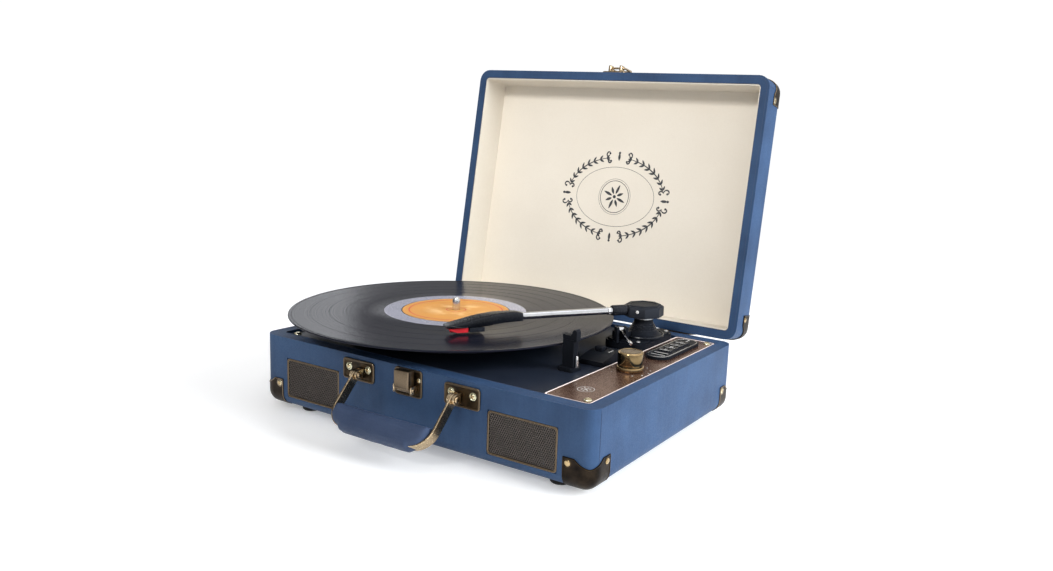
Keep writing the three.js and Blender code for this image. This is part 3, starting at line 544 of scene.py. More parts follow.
def block(x0, x1, y0, y1, z0, z1, r=0.4, seg=2, m=None):
    """A block with every edge rounded."""
    made = bmesh.ops.create_cube(bm, size=1.0)["verts"]
    for v in made:
        v.co = Vector((x0 if v.co.x < 0 else x1, y0 if v.co.y < 0 else y1, z0 if v.co.z < 0 else z1))
    edges = list(dict.fromkeys(e for v in made for e in v.link_edges))
    done = bmesh.ops.bevel(
        bm, geom=edges, offset=r, segments=seg, affect="EDGES", profile=0.5, clamp_overlap=True)
    move([{v for f in done["faces"] for v in f.verts}], m)


def rivet(x, y, z, r, h, m=None, seg=20):
    """Domed head on a short straight side."""
    steps = 5
    profile = [(r, z - 0.3), (r, z + 0.12 * h)]
    for i in range(1, steps + 1):
        a = pi / 2 * i / steps
        profile.append((r * cos(a) if i < steps else 0.0, z + 0.12 * h + 0.88 * h * sin(a)))
    lathe(profile, seg, x, y, m)


def screw(x, y, z, r, h, angle):
    """Domed screw head with a cross recess."""
    rivet(x, y, z, r, h, seg=28)
    for k in (0, 90):
        turn = turned((x, y, z + h * 0.93), angle + k, "Z")
        block(-r * 0.55, r * 0.55, -r * 0.09, r * 0.09, -0.2, 0.12, 0.03, 1, turn)


def rod(at, r, half, seg):
    """A round pin along X."""
    lathe([(0, -half), (r, -half), (r, half), (0, half)], seg, m=turned(at, 90, "Y"))


def directions(pts, closed):
    """Which way a path runs at each of its points."""
    n = len(pts)
    for i, p in enumerate(pts):
        a = pts[i - 1] if closed or i else p
        b = pts[(i + 1) % n] if closed or i < n - 1 else p
        yield (b - a).normalized()


def sweep(path, section, closed=False, up=(0, 0, 1)):
    """Carries a closed section of (side, up) points along a path."""
    pts = [Vector(p) for p in path]
    rings = []
    for p, t in zip(pts, directions(pts, closed)):
        side = t.cross(Vector(up))
        side = side.normalized() if side.length > 1e-6 else Vector((1, 0, 0))
        top = side.cross(t).normalized()
        rings.append([bm.verts.new(p + side * s + top * u) for s, u in section])
    join(rings, not closed, not closed, closed)


def squared(n, half, tall, upper, lower):
    """A squared oval. upper and lower hold the powers for its sides and its heights."""
    out = []
    for u, v in circle(1, n):
        power = upper if v > 0 else lower
        out.append((half * copysign(abs(u) ** power[0], u), tall * copysign(abs(v) ** power[1], v)))
    return out


def loft(rings):
    """Joins rings that run the other way round, and closes both ends."""
    join(rings, False, False)
    bm.faces.new(rings[0])
    bm.faces.new(rings[-1][::-1])


# --- grilles
def grille(tag, x):
    half_w, half_h = 32.25, 17.75
    at = on_front(x, 35.75)
    stack(
        layers(rect(half_w, half_h, 3.2), (0, -0.9), (0, -0.2), (0.2, 0.12), (0.6, 0.2))
        + layers(rect(half_w - 1.7, half_h - 1.7, 2.2), (-0.7, 0.2), (-0.25, 0.05), (0, -0.4), (0, -0.9)),
        False,
    )
    piece(f"grille_frame_{tag}", BRONZE, "case", at)

    # Perforated sheet: one hexagon with a round hole for each cell, cut off at the frame.
    pitch, hole = 2.0, 0.66
    tall = pitch * sqrt(3) / 2
    rows, cols = int(2 * half_h / tall) + 3, int(2 * half_w / pitch) + 3
    lim_x, lim_y = half_w - 1.9, half_h - 1.9

    def inside(x, y, z):
        return bm.verts.new((max(-lim_x, min(lim_x, x)), max(-lim_y, min(lim_y, y)), z))

    for j in range(rows):
        for i in range(cols):
            x = (i - cols / 2) * pitch + (pitch / 2 if j % 2 else 0)
            y = (j - rows / 2) * tall
            if abs(x) > lim_x + pitch * 0.45 or abs(y) > lim_y + pitch * 0.45:
                continue
            cell = []
            for k in range(12):
                t = radians(30 * k + 30)
                outer = (pitch / 2, -0.38) if k % 2 else (pitch / sqrt(3), -0.25)
                cell.append([inside(x + r * cos(t), y + r * sin(t), z)
                             for r, z in (outer, (hole, -0.55), (hole, -0.95))])
            for a, b in zip(cell, cell[1:] + cell[:1]):
                bm.faces.new((a[0], b[0], b[1], a[1]))
                bm.faces.new((a[1], b[1], b[2], a[2]))
    bmesh.ops.dissolve_degenerate(bm, dist=0.01, edges=bm.edges)
    piece(f"grille_mesh_{tag}", GRILLE, "case", at, 50, f"grille_{tag}")
    plate(rect(half_w - 1, half_h - 1, 0.8, 3), -1.25, -1.0, 0.08)
    piece(f"grille_cloth_{tag}", RUBBER, "case", at)


grille("left", -112.25)
grille("right", 112.25)


# --- corner guards
def guard(tag, sx, sy, part):
    """Pressed corner: three rounded faces, a dipped edge round the corner, round seats and rivets."""
    body, base, z, sz = ("lid", LID, 112.6, 1) if part == "lid" else ("case", CASE, 8.0, -1)
    grow, leg = 0.65, 26.0
    at = base @ Matrix((
        (-sx, 0, 0, sx * HALF_WIDTH), (0, -sy, 0, sy * HALF_DEPTH), (0, 0, -sz, z), (0, 0, 0, 1),
    ))

    def skin(*p):
        """Puts a point of the sharp corner (measured inwards) on the rounded form."""
        q = Vector([v - grow for v in p])
        c = Vector([max(v, CASE_ROUND) for v in q])
        d = q - c
        return c + d.normalized() * (CASE_ROUND + grow) if d.length > 1e-9 else q

    def height(u):
        """Height of the guard's upper edge at distance u round the corner."""
        return leg if u >= 15.5 else leg - 6.5 * cos(pi / 2 * u / 15.5) ** 0.8

    steps = [0, 1.2, 2.4, 3.6, 4.8, 6, 7.5, 9, 11, 13, 14.5, 16, 18, 20, 22, 24, 25.4, 26]
    for spot in (
        lambda a, b: (a, 0.0, b * height(a) / leg),
        lambda a, b: (0.0, a, b * height(a) / leg),
        lambda a, b: (a, b, 0.0),
    ):
        grid = [[bm.verts.new(skin(*spot(a, b))) for b in steps] for a in steps]
        for low, high in zip(grid, grid[1:]):
            for j in range(len(steps) - 1):
                bm.faces.new((low[j], high[j], high[j + 1], low[j + 1]))
    bmesh.ops.remove_doubles(bm, verts=bm.verts, dist=0.05)
    obj = piece(f"corner_guard_{part}_{tag}", CORNER, body, at, stands_for=f"guard_{part}_{tag}")
    middle = at.to_3x3() @ Vector((1, 1, 1))
    inwards = sum((p.normal for p in obj.data.polygons), Vector()).dot(middle) > 0
    sheet = obj.modifiers.new("sheet", "SOLIDIFY")
    sheet.thickness = 0.0006
    sheet.offset = 1.0 if inwards else -1.0
    rim = obj.modifiers.new("rim", "BEVEL")
    rim.width, rim.segments, rim.limit_method, rim.angle_limit = 0.0002, 2, "ANGLE", radians(50)

    # Rolled bead along the free edges, and a seat with a rivet on each of the two tabs.
    us = [25.4, 24, 22, 20, 18, 16.5, 15.5, 14, 12, 10, 8, 6, 4.5, 3, 1.5, 0.0]
    edge = [skin(u, 0.0, height(u) - 0.6) for u in us]
    sweep(edge + [skin(0.0, u, height(u) - 0.6) for u in us[-2::-1]], circle(0.42, 8))
    for x, y in ((25.5, 0.0), (0.0, 25.5)):
        foot = [skin(x, y, z) for z in (24.8, 22, 18, 14, 11, 8, 6, 4, 2)]
        sweep(foot, circle(0.4, 8), up=(0.3, 0.5, 0.9))
    along_x, across = (1, 0, 0, 0), (0, 0, -1, 0)
    seats = [
        Matrix((*rows, (0, 1, 0, 0), (0, 0, 0, 1))) @ Matrix.Translation((20.8, 21.0, grow))
        for rows in ((along_x, across), (across, along_x))
    ]
    for m in seats:
        lathe([(2.9, -0.1), (3.0, 0.1), (3.3, 0.16), (3.6, 0.05), (3.7, -0.1)], 28, m=m)
    piece(f"guard_trim_{part}_{tag}", BRONZE, body, at, 40)
    for m in seats:
        rivet(0, 0, 0.0, 2.6, 0.74, m, 24)
    piece(f"guard_rivets_{part}_{tag}", SCREW, body, at, 40)


for end, sy in (("front", -1), ("back", 1)):
    for hand, sx in (("left", -1), ("right", 1)):
        guard(f"{end}_{hand}", sx, sy, "base")
        guard(f"{end}_{hand}", sx, sy, "lid")


# --- turntable
def record():
    top, rim = 91.8, 150.5
    face = top - 0.22
    profile = [
        (3.9, 90.1), (60, 90.1), (110, 90.1), (rim - 0.8, 90.1), (rim - 0.2, 90.4), (rim, 90.9),
        (rim - 0.2, 91.5), (rim - 0.9, top), (rim - 2.6, top), (rim - 3.2, top - 0.2), (rim - 3.8, face),
    ]
    # Flat bands, with a shallow gap after each. The grooves themselves are bump.
    r = rim - 4.6
    for gap_at in (131.5, 115.0, 99.5, 84.0):
        while r > gap_at + 1.0:
            r -= min(2.6, r - gap_at - 0.6)
            profile.append((r, face))
        r = gap_at - 0.6
        profile += [(gap_at + 0.4, top - 0.32), (gap_at - 0.4, top - 0.32), (r, face)]
    profile += [(67, face), (66.4, top - 0.1), (50.6, top - 0.12), (50.3, top - 0.6), (3.9, top - 0.6)]
    lathe(profile, 192, *SPIN, closed=True)
    piece("record_disc", VINYL, "turntable", sharp=20, stands_for="record")
    # Runout ring between the grooves and the label, coloured with a painted sheen that stands in for
    # reflected light on black vinyl.
    wax = [(50.8, 91.72), (52, 91.74), (56, 91.74), (61, 91.74), (66.0, 91.74), (66.4, 91.70)]
    lathe(wax, 160, *SPIN)
    piece("record_runout_painted_sheen", RUNOUT_PAINTED_SHEEN, "turntable")
    z = 91.9
    lathe([
        (3.9, 91.5), (49.6, 91.5), (50, 91.6), (50, z - 0.15), (49.7, z), (34.2, z), (34.0, z - 0.12),
        (33.4, z - 0.12), (33.2, z), (12, z), (3.9, z),
    ], 128, *SPIN, closed=True)
    piece("record_label_disc", LABEL, "turntable", sharp=20, stands_for="record_label")
    lathe([
        (0, 52), (3.6, 52), (3.6, 92.5), (3.6, 99.5), (3.45, 101), (3.1, 102.4), (2.5, 103.4),
        (1.6, 104.15), (0.7, 104.45), (0, 104.5),
    ], 48, *SPIN)
    piece("spindle_pin", CHROME, "turntable", stands_for="spindle")


record()


# --- deck and control panel
def deck_details():
    kx, ky, printed = KNOB_X, KNOB_Y, PANEL_TOP + 0.08
    # Raised bright edge round the panel, and the brown face inside it.
    out = rect(20.7, 115.8, 3.5, 5, 141.7)
    steps = ((0, 70.0), (0, 71.2), (0.15, 71.5), (0.45, 71.7), (1.35, 71.7), (1.5, PANEL_TOP))
    stack(layers(out, *steps), False)
    piece("panel_edge_trim", EDGE, "case")
    shaft_hole = [(kx + u, ky + v) for u, v in circle(4.6, 24)]
    loops = []
    for pts in (shrink(out, 1.5), shaft_hole, rect(10.4, 37.4, 9.8, 6, kx, MODULE_Y)):
        vs = [bm.verts.new((*p, PANEL_TOP)) for p in pts]
        loops += [bm.edges.new((vs[i], vs[(i + 1) % len(vs)])) for i in range(len(vs))]
    bmesh.ops.triangle_fill(bm, edges=loops, use_beauty=True)
    bmesh.ops.solidify(bm, geom=bm.faces[:], thickness=-1.4)
    piece("panel_face", PANEL, "case", stands_for="control_panel")
    heads = ((156.5, -108.5, PANEL_TOP), (156.5, 108.5, PANEL_TOP), (-155, -108, 69.7), (-155, 108, 69.7))
    for i, (x, y, z) in enumerate(heads):
        screw(x, y, z, 3.4, 1.9, 20 + 37 * i)
    piece("deck_screws", SCREW, "case")

    # Dots of the volume scale, growing with the level.
    for i in range(11):
        t = radians(235 - 29 * i)
        size = 0.42 + 0.045 * i
        dot = [(0, 71.64), (size * 0.7, 71.63), (size, 71.58)]
        lathe(dot, 14, kx + 17.2 * cos(t), ky + 17.2 * sin(t))
    piece("volume_scale", WHITE, "case")

    # Small sunburst mark printed on the front end of the panel.
    for i in range(8):
        m = turned((141, -86, 71.62), 45 * i, "Z")
        ray = [(2.2, 0, 0), (3.2, 0.62, 0), (5.4, 0, 0), (3.2, -0.62, 0)]
        bm.faces.new([bm.verts.new(m @ Vector(p)) for p in ray])
    lathe([(0, printed), (1.0, printed), (1.3, 71.6)], 16, 141, -86)
    lathe([(6.4, 71.6), (6.6, printed), (6.9, 71.6)], 32, 141, -86)
    piece("panel_mark", WHITE, "case")

    lathe([
        (0, 63), (3, 63), (3, 72.0), (11.2, 72.0), (11.7, 72.3), (11.8, 72.8), (11.8, 74.8), (11.6, 75.3),
        (11.1, 75.6), (10.4, 75.7), (10.3, 76.9), (10.7, 77.0), (10.95, 77.3), (11, 78), (11, 86.4),
        (10.85, 87.2), (10.4, 87.75), (9.7, 88), (8.9, 88), (8.6, 87.75), (8.1, 87.7), (5, 87.7), (2, 87.7),
        (0, 87.7),
    ], 96, kx, ky)
    piece("knob_cap", GOLD, "knob", stands_for="volume_knob")
    block(kx - 0.45, kx + 0.45, ky + 4.5, ky + 8.0, 87.5, 87.85, 0.12)
    piece("knob_pointer", GLOSSY, "knob")

    # Media module: bright outline, a row of lights and socket lips, then button caps with printed strokes.
    pill = shrink(rect(11.4, 39.4, 11.2, 8, kx, MODULE_Y), 1.1)
    sweep([(*p, 74.38) for p in pill], circle(0.28, 6, 0.2), closed=True)
    piece("module_outline", CHROME, "case")
    for y in (90, 94, 98):
        rivet(kx, y, 74.4, 1.1, 0.5)
    for y in (33.2, 40.1):
        block(kx - 6.9, kx + 6.9, y, y + 0.9, 73.8, 74.7, 0.2, 1)
    piece("module_trim", STEEL, "case")
    for x in (kx - 3.2, kx + 3.2):
        block(x - 2.2, x + 2.2, 36.2, 38.0, 68.2, 71.2, 0.2, 1)
    piece("module_socket_tongue", WHITE, "case")
    cap = ((0, 71.2), (0, 75.0), (0.15, 75.5), (0.55, 75.9), (1.1, 76.0), (1.9, 75.75), (3.0, 75.6))
    for number, y in enumerate((50, 61, 72, 83), 1):
        button = f"button_{number}"
        stack(layers(rect(6.4, 3.9, 1.1, 4, kx, y), *cap))
        piece(f"button_cap_{number}", GLOSSY, button, stands_for=button)
        # Play, pause, next and back.
        z = 75.72
        signs = {
            1: [[(-1.4, -1.5), (1.5, 0), (-1.4, 1.5)]],
            3: [[(s, -1.3), (s + 1.5, 0), (s, 1.3)] for s in (-1.3, 0.4)],
            4: [[(-s, -1.3), (-s - 1.5, 0), (-s, 1.3)] for s in (-1.3, 0.4)],
        }
        for sign in signs.get(number, ()):
            bm.faces.new([bm.verts.new((kx + a, y + b, z)) for a, b in sign])
        if number == 2:
            for s in (-0.8, 0.8):
                block(kx + s - 0.35, kx + s + 0.35, y - 1.5, y + 1.5, z - 0.1, z + 0.03, 0.02, 1)
        block(kx - 5.2, kx + 5.2, y - 3.55, y - 3.2, 75.55, 75.86, 0.08, 1)
        piece(f"button_mark_{number}", WHITE, button)


deck_details()


# --- tonearm
def tonearm():
    # Octagonal cap with a stepped, faceted top.
    angles = [radians(22.5 + 45 * i) for i in range(8)]
    octagon = [(1 + 20 * cos(t), 18 * sin(t)) for t in angles]
    stack(layers(
        octagon, (1.2, 97.0), (0.3, 97.3), (0, 98.2), (0, 105.6), (0.3, 106.3), (1.4, 107.2), (2.2, 107.3),
        (2.6, 107.9), (3.2, 108.35), (3.8, 108.4), (6.2, 108.4), (6.8, 107.9), (9.0, 107.8),
    ))
    piece("arm_cap", BLACK, "arm", ARM, 28, "tonearm_cap")
    tube = turned((0, 0, 103.5), 90, "Y")
    lathe([
        (0, 15), (4.2, 15), (4.9, 15.8), (4.9, 18.5), (4.4, 18.9), (4.4, 20.2), (4.9, 20.6), (4.9, 33.8),
        (4.6, 34.6), (3.9, 35), (3.25, 35), (3.25, 30),
    ], 40, m=tube)
    for s in (-1, 1):
        lathe([(0, 7.4), (1.2, 7.4), (1.2, 12.5)], 16, m=turned((0, 0, 100), -90 * s, "X"))
    piece("arm_collar", GLOSSY, "arm", ARM)
    stud = turned((14.0, 11.7, 103.2), 48, "Z") @ turned((0, 0, 0), 90, "Y")
    lathe([(1.5, -0.6), (1.4, 0.2), (0.9, 0.5), (0, 0.55)], 20, m=stud)
    piece("arm_cap_dot", WHITE, "arm", ARM)

    # Tube with a bright ferrule where it leaves the collar.
    lathe([(3.2, 22), (3.2, 36.5), (3.2, 80), (3.2, 122), (3.2, 131)], 40, m=tube)
    lathe([(3.2, 36.8), (3.65, 37.1), (3.65, 39.4), (3.2, 39.7)], 40, m=tube)
    piece("arm_tube", CHROME, "arm", ARM, stands_for="tonearm_tube")

    # Headshell lofted along the arm: narrow neck, broad crowned back, thin nose. Three ribs for the finger.
    rings = []
    for x, low, high, half in (
        (124, 99.9, 106.8, 4.2), (124.6, 99.6, 107.1, 4.8), (130, 99.5, 108.5, 5.0), (136, 99.5, 108.6, 5.7),
        (144, 99.5, 108.4, 7.1), (150, 99.0, 108.1, 8.2), (156, 98.0, 107.3, 8.5), (162, 97.7, 106.5, 8.5),
        (168, 97.7, 105.5, 8.5), (176, 97.7, 103.5, 8.5), (184, 97.7, 101.7, 8.4), (190, 97.6, 100.4, 7.1),
        (192.4, 97.7, 99.8, 6.2), (193.0, 98.0, 99.3, 5.5),
    ):
        oval = squared(28, half, (high - low) / 2, (0.42, 0.55), (0.3, 0.3))
        rings.append([bm.verts.new((x, u, (low + high) / 2 + v)) for u, v in oval])
    loft(rings)
    for x in (137, 140.5, 144):
        top = 108.55 - (x - 136) * 0.02
        block(x - 0.7, x + 0.7, -4.3, 4.3, top - 1.2, top + 0.05, 0.3)
    piece("headshell_body", GLOSSY, "arm", ARM, 40, "headshell")
    lift = [(176, 8.0, 98.6), (178, 9.4, 98.6), (181, 10.4, 98.9), (186, 10.6, 99.6), (191, 10.4, 100.9)]
    sweep(lift, circle(1.0, 10, 0.4))
    piece("headshell_lift", GLOSSY, "arm", ARM)
    block(160, 173.6, -7.2, 7.2, 93.4, 97.4, 0.5)
    block(163, 166, -7.35, 7.35, 94.6, 96.4, 0.2, 1)
    piece("cartridge_body", BLACK, "arm", ARM, stands_for="cartridge")
    side = [(174.2, 93.2), (183.6, 93.2), (190.6, 95.7), (190.8, 97.2), (174.2, 97.2)]
    stack(layers(side, (0.35, -6.0), (0, -5.6), (0, 5.6), (0.35, 6.0)), m=turned((0, 0, 0), 90, "X"))
    block(176, 189, -1.2, 1.2, 93.0, 94.2, 0.3, 1)
    piece("stylus_guard", RED, "arm", ARM, stands_for="stylus")
    sweep([(176, 0, 94.2), (178.5, 0, 93.3), (180.2, 0, 92.7)], circle(0.35, 8), up=(0, 1, 0))
    lathe([(0, 92.15), (0.25, 92.5), (0.3, 93.0)], 10, 180)
    piece("stylus_tip", CHROME, "arm", ARM)

    # Ring and counter-threads on the pedestal, and the plinth's screws.
    px, py, _ = ARM_PIVOT
    lathe([(19, 78.2), (20.2, 78.5), (20.4, 79.2), (20.0, 80.0), (19, 80.2)], 64, px, py)
    for z in (84.6, 86.4, 88.2, 90.0):
        r = 13 - (z - 84) * 0.62
        thread = [(r - 0.2, z - 0.5), (r + 0.45, z - 0.25), (r + 0.45, z + 0.25), (r - 0.2, z + 0.5)]
        lathe(thread, 48, px, py)
    piece("pedestal_rings", GLOSSY, "case")
    for x, y in ((85.5, 105.5), (114, 105.5), (114, 48.5)):
        screw(x, y, 78.0, 2.0, 0.9, x * 3)
    piece("plinth_screws", STEEL, "case")
    # Chrome ball on the cue lever's end.
    tip = Vector((119, 25, 81.5))
    rod_dir = (tip - Vector((95, 48, 87))).normalized()
    side = rod_dir.cross(Vector((0, 0, 1))).normalized()
    top = side.cross(rod_dir)
    rings = []
    for back, r in ((6.5, 1.15), (5.5, 1.75), (3.5, 2.0), (1.5, 2.0), (0.4, 1.5), (0.05, 0.8)):
        rings.append([bm.verts.new(tip - rod_dir * back + side * u + top * v) for u, v in circle(r, 20)])
    join(rings, cap_low=False)
    piece("cue_knob", CHROME, "cue")
    # Rubber pad and a bright clip pin on the arm rest.
    pad = [(0, -6.6, 100.7), (0, -4.6, 100.2), (0, -3.0, 99.9), (0, -0.5, 99.85)]
    sweep(pad, [(-2.7, -0.2), (2.7, -0.2), (2.7, 0.12), (-2.7, 0.12)])
    piece("rest_pad", RUBBER, "case", REST)
    lathe([(1.5, 73), (1.5, 80), (1.1, 82.2), (0.6, 82.9), (0, 83)], 20, 0, 7.4)
    piece("rest_pin", CHROME, "case", REST)
    # Ribs on the speed switch, and a dot for each speed beside its slot.
    for y in (-2.0, -0.7, 0.6, 1.9, 3.1):
        block(98.8, 105.2, y - 0.3, y + 0.3, 81.6, 82.0, 0.12, 1)
    piece("speed_tab_ribs", BLACK, "speed_tab")
    for y in (-0.4, 2.6, 5.6):
        lathe([(0, 78.12), (0.7, 78.1), (0.9, 78.0)], 16, 111.5, y)
    piece("speed_marks", WHITE, "case")


tonearm()


# --- handle
def u_path(half, bottom, r):
    """Down one leg of the handle's bar, round both bends and up the other leg."""
    def bend(x, first):
        turn = [radians(first + i) for i in range(0, 91, 10)]
        return [(x + r * cos(t), 0, -bottom + r + r * sin(t)) for t in turn]

    pts = [(-half, 0, z) for z in (0, -8, -16, -24)] + bend(-half + r, 180)
    pts += [(-half + r + (2 * half - 2 * r) * k / 10, 0, -bottom) for k in range(1, 10)]
    return pts + bend(half - r, 270) + [(half, 0, z) for z in (-24, -16, -8, 0)]


def handle():
    # Flat bar: rounded rectangle section, thin across the U and 9 mm broad.
    sweep(u_path(52, 45.5, 17), rect(0.98, 4.45, 0.55, 3), up=(0, 1, 0))
    eye = [(1.9, -0.98), (4.0, -0.98), (4.4, -0.6), (4.4, 0.6), (4.0, 0.98), (1.9, 0.98)]
    for x in (-52, 52):
        lathe(eye, 36, m=turned((x, 0, 0), 90, "Y"), closed=True)
    piece("handle_frame_bar", BRASS, "handle", HANDLE, 40, "handle_bar")

    # Grip: a padded leather sleeve, filled and then inflated by the cloth solver.
    rings = []
    for i in range(57):
        x = -49.2 + 98.4 * i / 56
        a = abs(x)
        top = -27.6 - 0.4 * sin(pi * (x + 49.2) / 98.4)
        bottom = -48.9
        if a > 36:
            d = min(12.6, a - 36)
            bottom = -46.2 + (12.8 - sqrt(max(0.0, 12.8 ** 2 - d * d)))
        end = max(0.0, (a - 46.4) / 2.8)
        squeeze = sqrt(max(0.04, 1 - end * end * 0.6))
        tall = max(1.6, (top - bottom) / 2) * (0.9 + 0.1 * squeeze)
        oval = squared(36, 8.4 * squeeze, tall, (0.55, 0.62), (0.55, 0.62))
        rings.append([bm.verts.new((x, u, (top + bottom) / 2 + v)) for u, v in oval])
    loft(rings)
    bmesh.ops.recalc_face_normals(bm, faces=bm.faces)
    bm.transform(HANDLE)
    pad = add_object("handle_grip_pad", take_mesh("handle_grip_pad"))
    remesh = pad.modifiers.new("even", "REMESH")
    remesh.mode, remesh.voxel_size = "VOXEL", 0.0017
    bake(pad)
    inflate(pad, 0.0016)
    smooth = pad.modifiers.new("relax", "SMOOTH")
    smooth.factor, smooth.iterations = 0.5, 4
    bake(pad)
    finish_pad(pad)


def bake(obj):
    """Applies an object's modifiers to its mesh."""
    bpy.context.view_layer.update()
    got = bpy.data.meshes.new_from_object(obj.evaluated_get(bpy.context.evaluated_depsgraph_get()))
    obj.modifiers.clear()
    obj.data = got


def inflate(obj, cap):
    """Fills a closed skin with the cloth solver and keeps every point within cap of its start."""
    start = [v.co.copy() for v in obj.data.vertices]
    cloth = obj.modifiers.new("Cloth", "CLOTH").settings
    cloth.quality = 6
    cloth.mass = 0.2
    cloth.tension_stiffness = cloth.compression_stiffness = 12
    cloth.use_pressure = True
    cloth.uniform_pressure_force = 4
    cloth.effector_weights.gravity = 0
    scene = bpy.context.scene
    for f in range(1, 21):
        scene.frame_set(f)
    bake(obj)
    scene.frame_set(1)
    for v, s in zip(obj.data.vertices, start):
        d = v.co - s
        if d.length > cap:
            v.co = s + d * (cap / d.length)


def finish_pad(pad):
    """Keeps the pad inside its room, creases it, says what it is, and sews its closing seam."""
    inv = HANDLE.inverted()
    for v in pad.data.vertices:
        p = inv @ v.co
        p.x = max(-50.2, min(50.2, p.x))
        p.y = max(-8.9, min(8.9, p.y))
        p.z = max(-49.4, min(-26.6, p.z))
        v.co = HANDLE @ p
    sub = pad.modifiers.new("fine", "SUBSURF")
    sub.levels = sub.render_levels = 1
    bake(pad)
    me = pad.data
    # Soft creases, as in wrapped leather.
    for v in me.vertices:
        p = inv @ v.co
        w = noise.noise(Vector((p.x * 0.05, p.y * 0.16, p.z * 0.22)) * 2.2)
        v.co += v.normal * (w * 0.00028)
    for p in me.polygons:
        p.use_smooth = True
    me.materials.clear()
    me.materials.append(GRIP)
    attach(pad, "handle")
    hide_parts("handle_grip")

    # Closing seam of the sleeve, along the back where the hand doesn't rub.
    tree = BVHTree.FromPolygons([inv @ v.co for v in me.vertices], [p.vertices for p in me.polygons])
    pts = []
    for i in range(57):
        at, n = tree.ray_cast(Vector((-43.5 + 87 * i / 56, 20, -38.2)), Vector((0, -1, 0)))[:2]
        if at:
            pts.append(at + n * 0.05)
    sweep(pts, circle(0.34, 8), up=(0, 1, 0))
    for a, b in zip(pts[::2], pts[1::2]):
        step = (b - a).normalized()
        for s in (-1, 1):
            root = a + Vector((0, 0.12, s * 1.3))
            stitch = [root, root + step * 0.7 + Vector((0, 0.14, 0)), root + step * 1.5]
            sweep(stitch, circle(0.2, 6), up=(0, 1, 0))
    piece("handle_grip_seam", THREAD, "handle", HANDLE, 60)


handle()


def brackets():
    _, py, pz = HANDLE_PIN
    raised = Matrix.Translation((0, 0, 0.3))
    for side, tag in ((-1, "left"), (1, "right")):
        at = on_front(side * 55.5, 59.3)
        plate(rect(17.7, 9, 3.0), 0.0, 1.3, 0.55, (1.6, 0.45), raised)
        piece(f"bracket_plate_{tag}", BRONZE, "case", at, 40, f"handle_bracket_{tag}")
        for dx in (-10.8, 10.8):
            rivet(dx, 2.0, 1.1, 2.4, 1.1)
            lathe([(2.5, 1.1), (2.8, 1.3), (3.2, 1.2), (3.3, 1.1)], 24, dx, 2.0)
        piece(f"bracket_rivets_{tag}", SCREW, "case", at, 40)
        # Clevis box: two cheeks with round noses, a pin and its dome heads.
        nose = [radians(-90 - 180 * i / 8) for i in range(9)]
        cheek = [(-130.6, 53.9), (py, 53.8)] + [(py + 4.2 * cos(t), pz + 4.2 * sin(t)) for t in nose]
        cheek.append((-130.6, 62.1))
        for s in (-1, 1):
            m = Matrix(((0, 0, 1, s * 2.6), (1, 0, 0, 0), (0, 1, 0, 0), (0, 0, 0, 1)))
            stack(layers(cheek[::-1], (0.25, -1.1), (0, -0.85), (0, 0.85), (0.25, 1.1)), m=m)
            rivet(0, 0, 0, 2.4, 1.2, turned((s * 3.7, py, pz), 90 * s, "Y"), 24)
        rod(HANDLE_PIN, 1.5, 3, 24)
        block(-3.7, 3.7, -132.2, -130.4, 54.0, 62.0)
        at = CASE @ Matrix.Translation((side * 52.0, 0, 0))
        piece(f"bracket_clevis_{tag}", BRASS, "case", at, 40)


brackets()


def latch():
    _, py, pz = LATCH_PIN
    raised = Matrix.Translation((0, 0, 0.3))
    at = on_front(0, 59.7)
    plate(rect(14.5, 11.5, 2.8), 0.0, 1.3, 0.5, (1.4, 0.4), raised)
    piece("latch_back_plate", BRONZE, "case", at, 40, "latch_plate")
    for dx in (-11.4, 11.4):
        rivet(dx, 3.6, 1.2, 2.0, 1.0)
    piece("latch_rivets", SCREW, "case", at, 40)
    for s in (-1, 1):
        block(s * 9.1 - 0.9, s * 9.1 + 0.9, -137.2, -130.2, 52.1, 58.9, 0.5)
        rivet(0, 0, 0, 1.5, 0.8, turned((s * 10, py, pz), 90 * s, "Y"), 18)
    rod(LATCH_PIN, 1, 9, 18)
    piece("latch_hinge_ears", BRASS, "case")
    # Boxy lever: a folded shell with a raised spine and a thumb lip on top.
    block(-7.8, 7.8, -138.8, -135.9, 56.4, 71.5, 0.9, 3)
    for s in (-1, 1):
        block(s * 7.0 - 0.8, s * 7.0 + 0.8, -137.8, -131.5, 57.2, 71.2)
    block(-7.4, 7.4, -137.8, -131.5, 69.6, 71.4, 0.5)
    block(-5.6, 5.6, -138.75, -138.3, 58.6, 69.0, 0.2)
    rod(LATCH_PIN, 2.3, 7.6, 28)
    piece("latch_lever_shell", BRONZE, "latch", sharp=40, stands_for="latch_lever")

    plate(rect(14.5, 11.2, 2.8), 0.0, 1.3, 0.5, (1.4, 0.4), raised)
    for dx in (-11.4, 11.4):
        for dz in (7.2, -7.2):
            rivet(dx, dz, 1.05, 2.0, 0.85)
    piece("hasp_back_plate", BRONZE, "lid", on_front(0, 85.35, LID), 40, "hasp_plate")
    for s in (-1, 1):
        block(s * 6.5 - 1.5, s * 6.5 + 1.5, -137.2, -130.3, 75.7, 82.5, 0.6)
    piece("hasp_pivot_blocks", BRASS, "lid", LID)
    loop = [(x, py, z) for x, z in rect(9.4, 8.05, 2.2, 5, 0, 87.65)]
    sweep(loop, circle(1.08, 12), closed=True, up=(0, 1, 0))
    piece("hasp_wire_loop", BRASS, "hasp", LID, stands_for="hasp_loop")


latch()


# --- leather seams and edging
def bead(name, body, base, path, r, closed=True, up=(0, 0, 1)):
    sweep(path, circle(r, 8), closed, up)
    piece(name, THREAD, body, base, 60)


